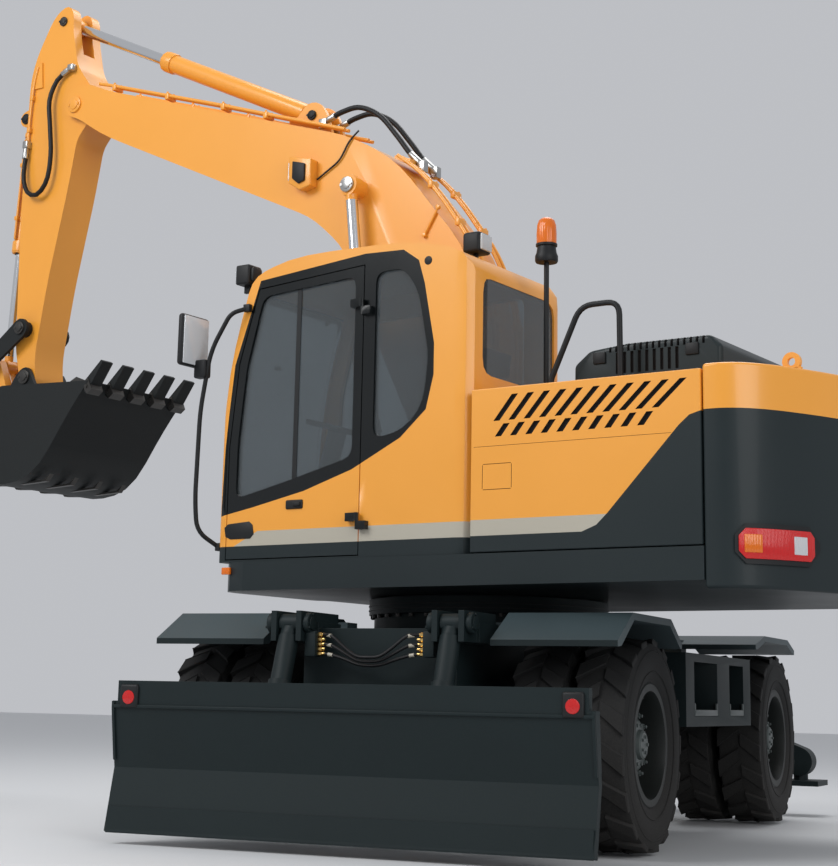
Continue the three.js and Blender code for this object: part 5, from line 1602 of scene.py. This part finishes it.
    def clamp(self, bm, at, size):
        """A pipe clamp with its two bolts."""
        width = 0.088
        at = Vector(at)
        block(
            bm, at + Vector((-width / 2, -size * 0.35, -size / 2)),
            at + Vector((width / 2, size * 0.35, size / 2)), 0.006,
        )
        for k in (-1, 1):
            round_bar(
                bm, at + Vector((k * width * 0.36, 0, size / 2 - 0.002)),
                at + Vector((k * width * 0.36, 0, size / 2 + 0.010)), 0.009, 6,
            )

    def boom_pipes(self):
        radius = sizes().pipe_diameter / 2
        top = [(3.36, 5.08), (3.24, 5.045), (2.16, 4.695), (1.72, 4.545), (1.12, 4.345)]
        clamps = bmesh.new()
        for k, x in enumerate((-0.02, 0.03, 0.25, 0.30)):
            route = [(x, y, z) for y, z in (top if k in (0, 3) else top[1:])]
            tube(f"boom_top_pipe_{k}", route, radius, "boom", "yellow", corner=0.12)
        for y, z in ((3.20, 5.02), (2.68, 4.855), (2.16, 4.685), (1.78, 4.555)):
            for x in (0.005, 0.275):
                self.clamp(clamps, (x, y, z), 0.048)
        back = [(0.70, 4.10), (0.52, 3.96), (0.36, 3.77), (0.13, 3.44), (0.02, 3.17), (-0.03, 2.90), (-0.025, 2.50)]
        for k, x in enumerate((-0.015, 0.035, 0.245, 0.295)):
            tube(f"boom_back_pipe_{k}", [(x, y, z) for y, z in back], radius, "boom", "yellow", corner=0.15)
        for y, z in ((0.44, 3.865), (0.235, 3.595), (-0.02, 2.95)):
            for x in (0.01, 0.27):
                self.clamp(clamps, (x, y, z), 0.046)
        finish_piece("boom_pipe_clamps", clamps, "boom", "yellow", "yellow")
        ferrules = bmesh.new()
        diameter = sizes().hose_diameter
        for k, x in enumerate((0.06, 0.21)):
            points = [
                (x, 0.60, 4.075), (x, 0.66, 4.13), (x, 0.76, 4.26), (x, 0.90, 4.42), (x, 1.06, 4.505),
                (x, 1.20, 4.50), (x, 1.30, 4.47),
            ]
            free_hose(f"arm_cylinder_hose_{k}", points, diameter, "boom", UPPER)
            round_bar(ferrules, (x, 0.57, 4.04), (x, 0.65, 4.12), diameter / 2 + 0.004, 24, bevel=0.002)
            round_bar(ferrules, (x, 1.26, 4.483), (x, 1.34, 4.455), diameter / 2 + 0.004, 24, bevel=0.002)
            block(ferrules, (x - 0.025, 0.53, 3.98), (x + 0.025, 0.585, 4.055), 0.006)
            block(ferrules, (x - 0.025, 1.32, 4.41), (x + 0.025, 1.38, 4.475), 0.006)
        finish_piece("boom_hose_fittings", ferrules, "boom", "black_trim", "steel")
        bm = bmesh.new()
        round_bar(bm, (-0.062, 0.355, 3.695), (-0.062, 0.455, 3.53), 0.008, 20)
        for y, z in ((0.355, 3.695), (0.455, 3.53)):
            round_bar(bm, (-0.050, y, z), (-0.074, y, z), 0.014, 20, bevel=0.002)
        slab(bm, [(0.60, 4.02), (0.72, 4.08), (0.72, 4.10), (0.60, 4.06)], "x", -0.02, 0.30)
        finish_piece("boom_brackets", bm, "boom", "yellow", "yellow")
        tube(
            "boom_lamp_wire",
            [(-0.062, 1.30, 4.02), (-0.062, 1.12, 4.12), (-0.062, 1.05, 4.24), (-0.055, 0.98, 4.30)], 0.006,
            "boom", "hose", corner=0.05,
        )

    def arm_lines(self):
        ferrules = bmesh.new()
        points = [
            (-0.022, 3.70, 5.242), (-0.036, 3.785, 5.185), (-0.055, 3.835, 5.03), (-0.056, 3.81, 4.82),
            (-0.056, 3.785, 4.60), (-0.056, 3.81, 4.41),
            (-0.056, 3.90, 4.315), (-0.056, 4.00, 4.34), (-0.050, 4.06, 4.45), (-0.036, 4.075, 4.58),
            (-0.024, 4.075, 4.66),
        ]
        free_hose("arm_side_hose", points, ARM_HOSE, "arm", UPPER)
        round_bar(ferrules, (-0.026, 3.665, 5.26), (-0.032, 3.74, 5.222), 0.021, 24, bevel=0.002)
        round_bar(ferrules, (-0.038, 4.075, 4.62), (-0.032, 4.075, 4.70), 0.021, 24, bevel=0.002)
        block(ferrules, (-0.052, 4.05, 4.70), (-0.002, 4.10, 4.76), 0.008)
        block(ferrules, (-0.05, 3.625, 5.235), (0.0, 3.68, 5.285), 0.008)
        finish_piece("arm_hose_fittings", ferrules, "arm", "black_trim", "steel")
        x = -0.016
        pipe = [(x, 4.02, 5.34), (x, 4.055, 5.20), (x, 4.075, 4.90), (x, 4.075, 4.74)]
        tube("arm_side_pipe_0", pipe, 0.009, "arm", "yellow", corner=0.06)
        bm = bmesh.new()
        slab(bm, [(3.965, 5.17), (4.045, 5.17), (4.045, 5.37), (3.985, 5.37)], "x", -0.012, 0.0)
        for y, z in ((4.062, 5.10), (4.072, 4.85)):
            block(bm, (-0.030, y - 0.016, z - 0.02), (0.0, y + 0.016, z + 0.02), 0.004)
        finish_piece("arm_brackets", bm, "arm", "yellow", "yellow")

    def lamp_box(self):
        bm = bmesh.new()
        slab(bm, [(1.49, 4.19), (1.31, 4.15), (1.31, 3.97), (1.40, 3.95), (1.49, 4.01)], "x", -0.125, -0.048)
        ease(bm, list(bm.edges), 0.008, 3)
        finish_piece("boom_lamp_box", bm, "boom", "yellow", "yellow")
        bm = bmesh.new()
        slab(bm, [(1.45, 4.148), (1.35, 4.12), (1.35, 4.005), (1.40, 3.99), (1.45, 4.03)], "x", -0.142, -0.122)
        ease(bm, list(bm.edges), 0.006, 2)
        finish_piece("boom_lamp", bm, "boom", "black_trim", "trim")
        bm = bmesh.new()
        slab(bm, [(1.50, 4.15), (1.487, 4.15), (1.487, 4.03), (1.50, 4.03)], "x", -0.115, -0.058)
        finish_piece("boom_lamp_lens", bm, "boom", "window", "clear")


# ---------------------------------------------------------------- panel and start
class EXC_PT_finish(bpy.types.Panel):
    """Lists the colours, the sizes and each group of pieces"""

    bl_idname = "EXC_PT_finish"
    bl_label = "Wheeled Excavator"
    bl_space_type = "VIEW_3D"
    bl_region_type = "UI"
    bl_category = "Excavator"

    def draw(self, context):
        layout = self.layout
        for group in (context.scene.excavator_finish, context.scene.excavator_sizes):
            for key in group.__annotations__:
                layout.prop(group, key)
        for operator in OPERATORS:
            layout.operator(operator.bl_idname)


OPERATORS = (
    STAGE_OT_studio,
    EXC_OT_undercarriage,
    EXC_OT_wheels,
    EXC_OT_blade,
    EXC_OT_decks,
    EXC_OT_hood_and_doors,
    EXC_OT_cab,
    EXC_OT_boom_and_arm,
)
CLASSES = (FinishSettings, SizeSettings, *OPERATORS, EXC_PT_finish)


def register():
    for cls in CLASSES:
        bpy.utils.register_class(cls)
    bpy.types.Scene.excavator_finish = bpy.props.PointerProperty(type=FinishSettings)
    bpy.types.Scene.excavator_sizes = bpy.props.PointerProperty(type=SizeSettings)


def unregister():
    del bpy.types.Scene.excavator_sizes
    del bpy.types.Scene.excavator_finish
    for cls in reversed(CLASSES):
        bpy.utils.unregister_class(cls)


def main():
    register()
    mix_finishes(bpy.context.scene.excavator_finish)
    bpy.ops.excavator.studio()
    bpy.ops.excavator.undercarriage()
    bpy.ops.excavator.wheels()
    bpy.ops.excavator.blade()
    bpy.ops.excavator.decks()
    bpy.ops.excavator.hood_and_doors()
    bpy.ops.excavator.cab()
    bpy.ops.excavator.boom_and_arm()
    bpy.context.view_layer.update()


if __name__ == "__main__":
    main()
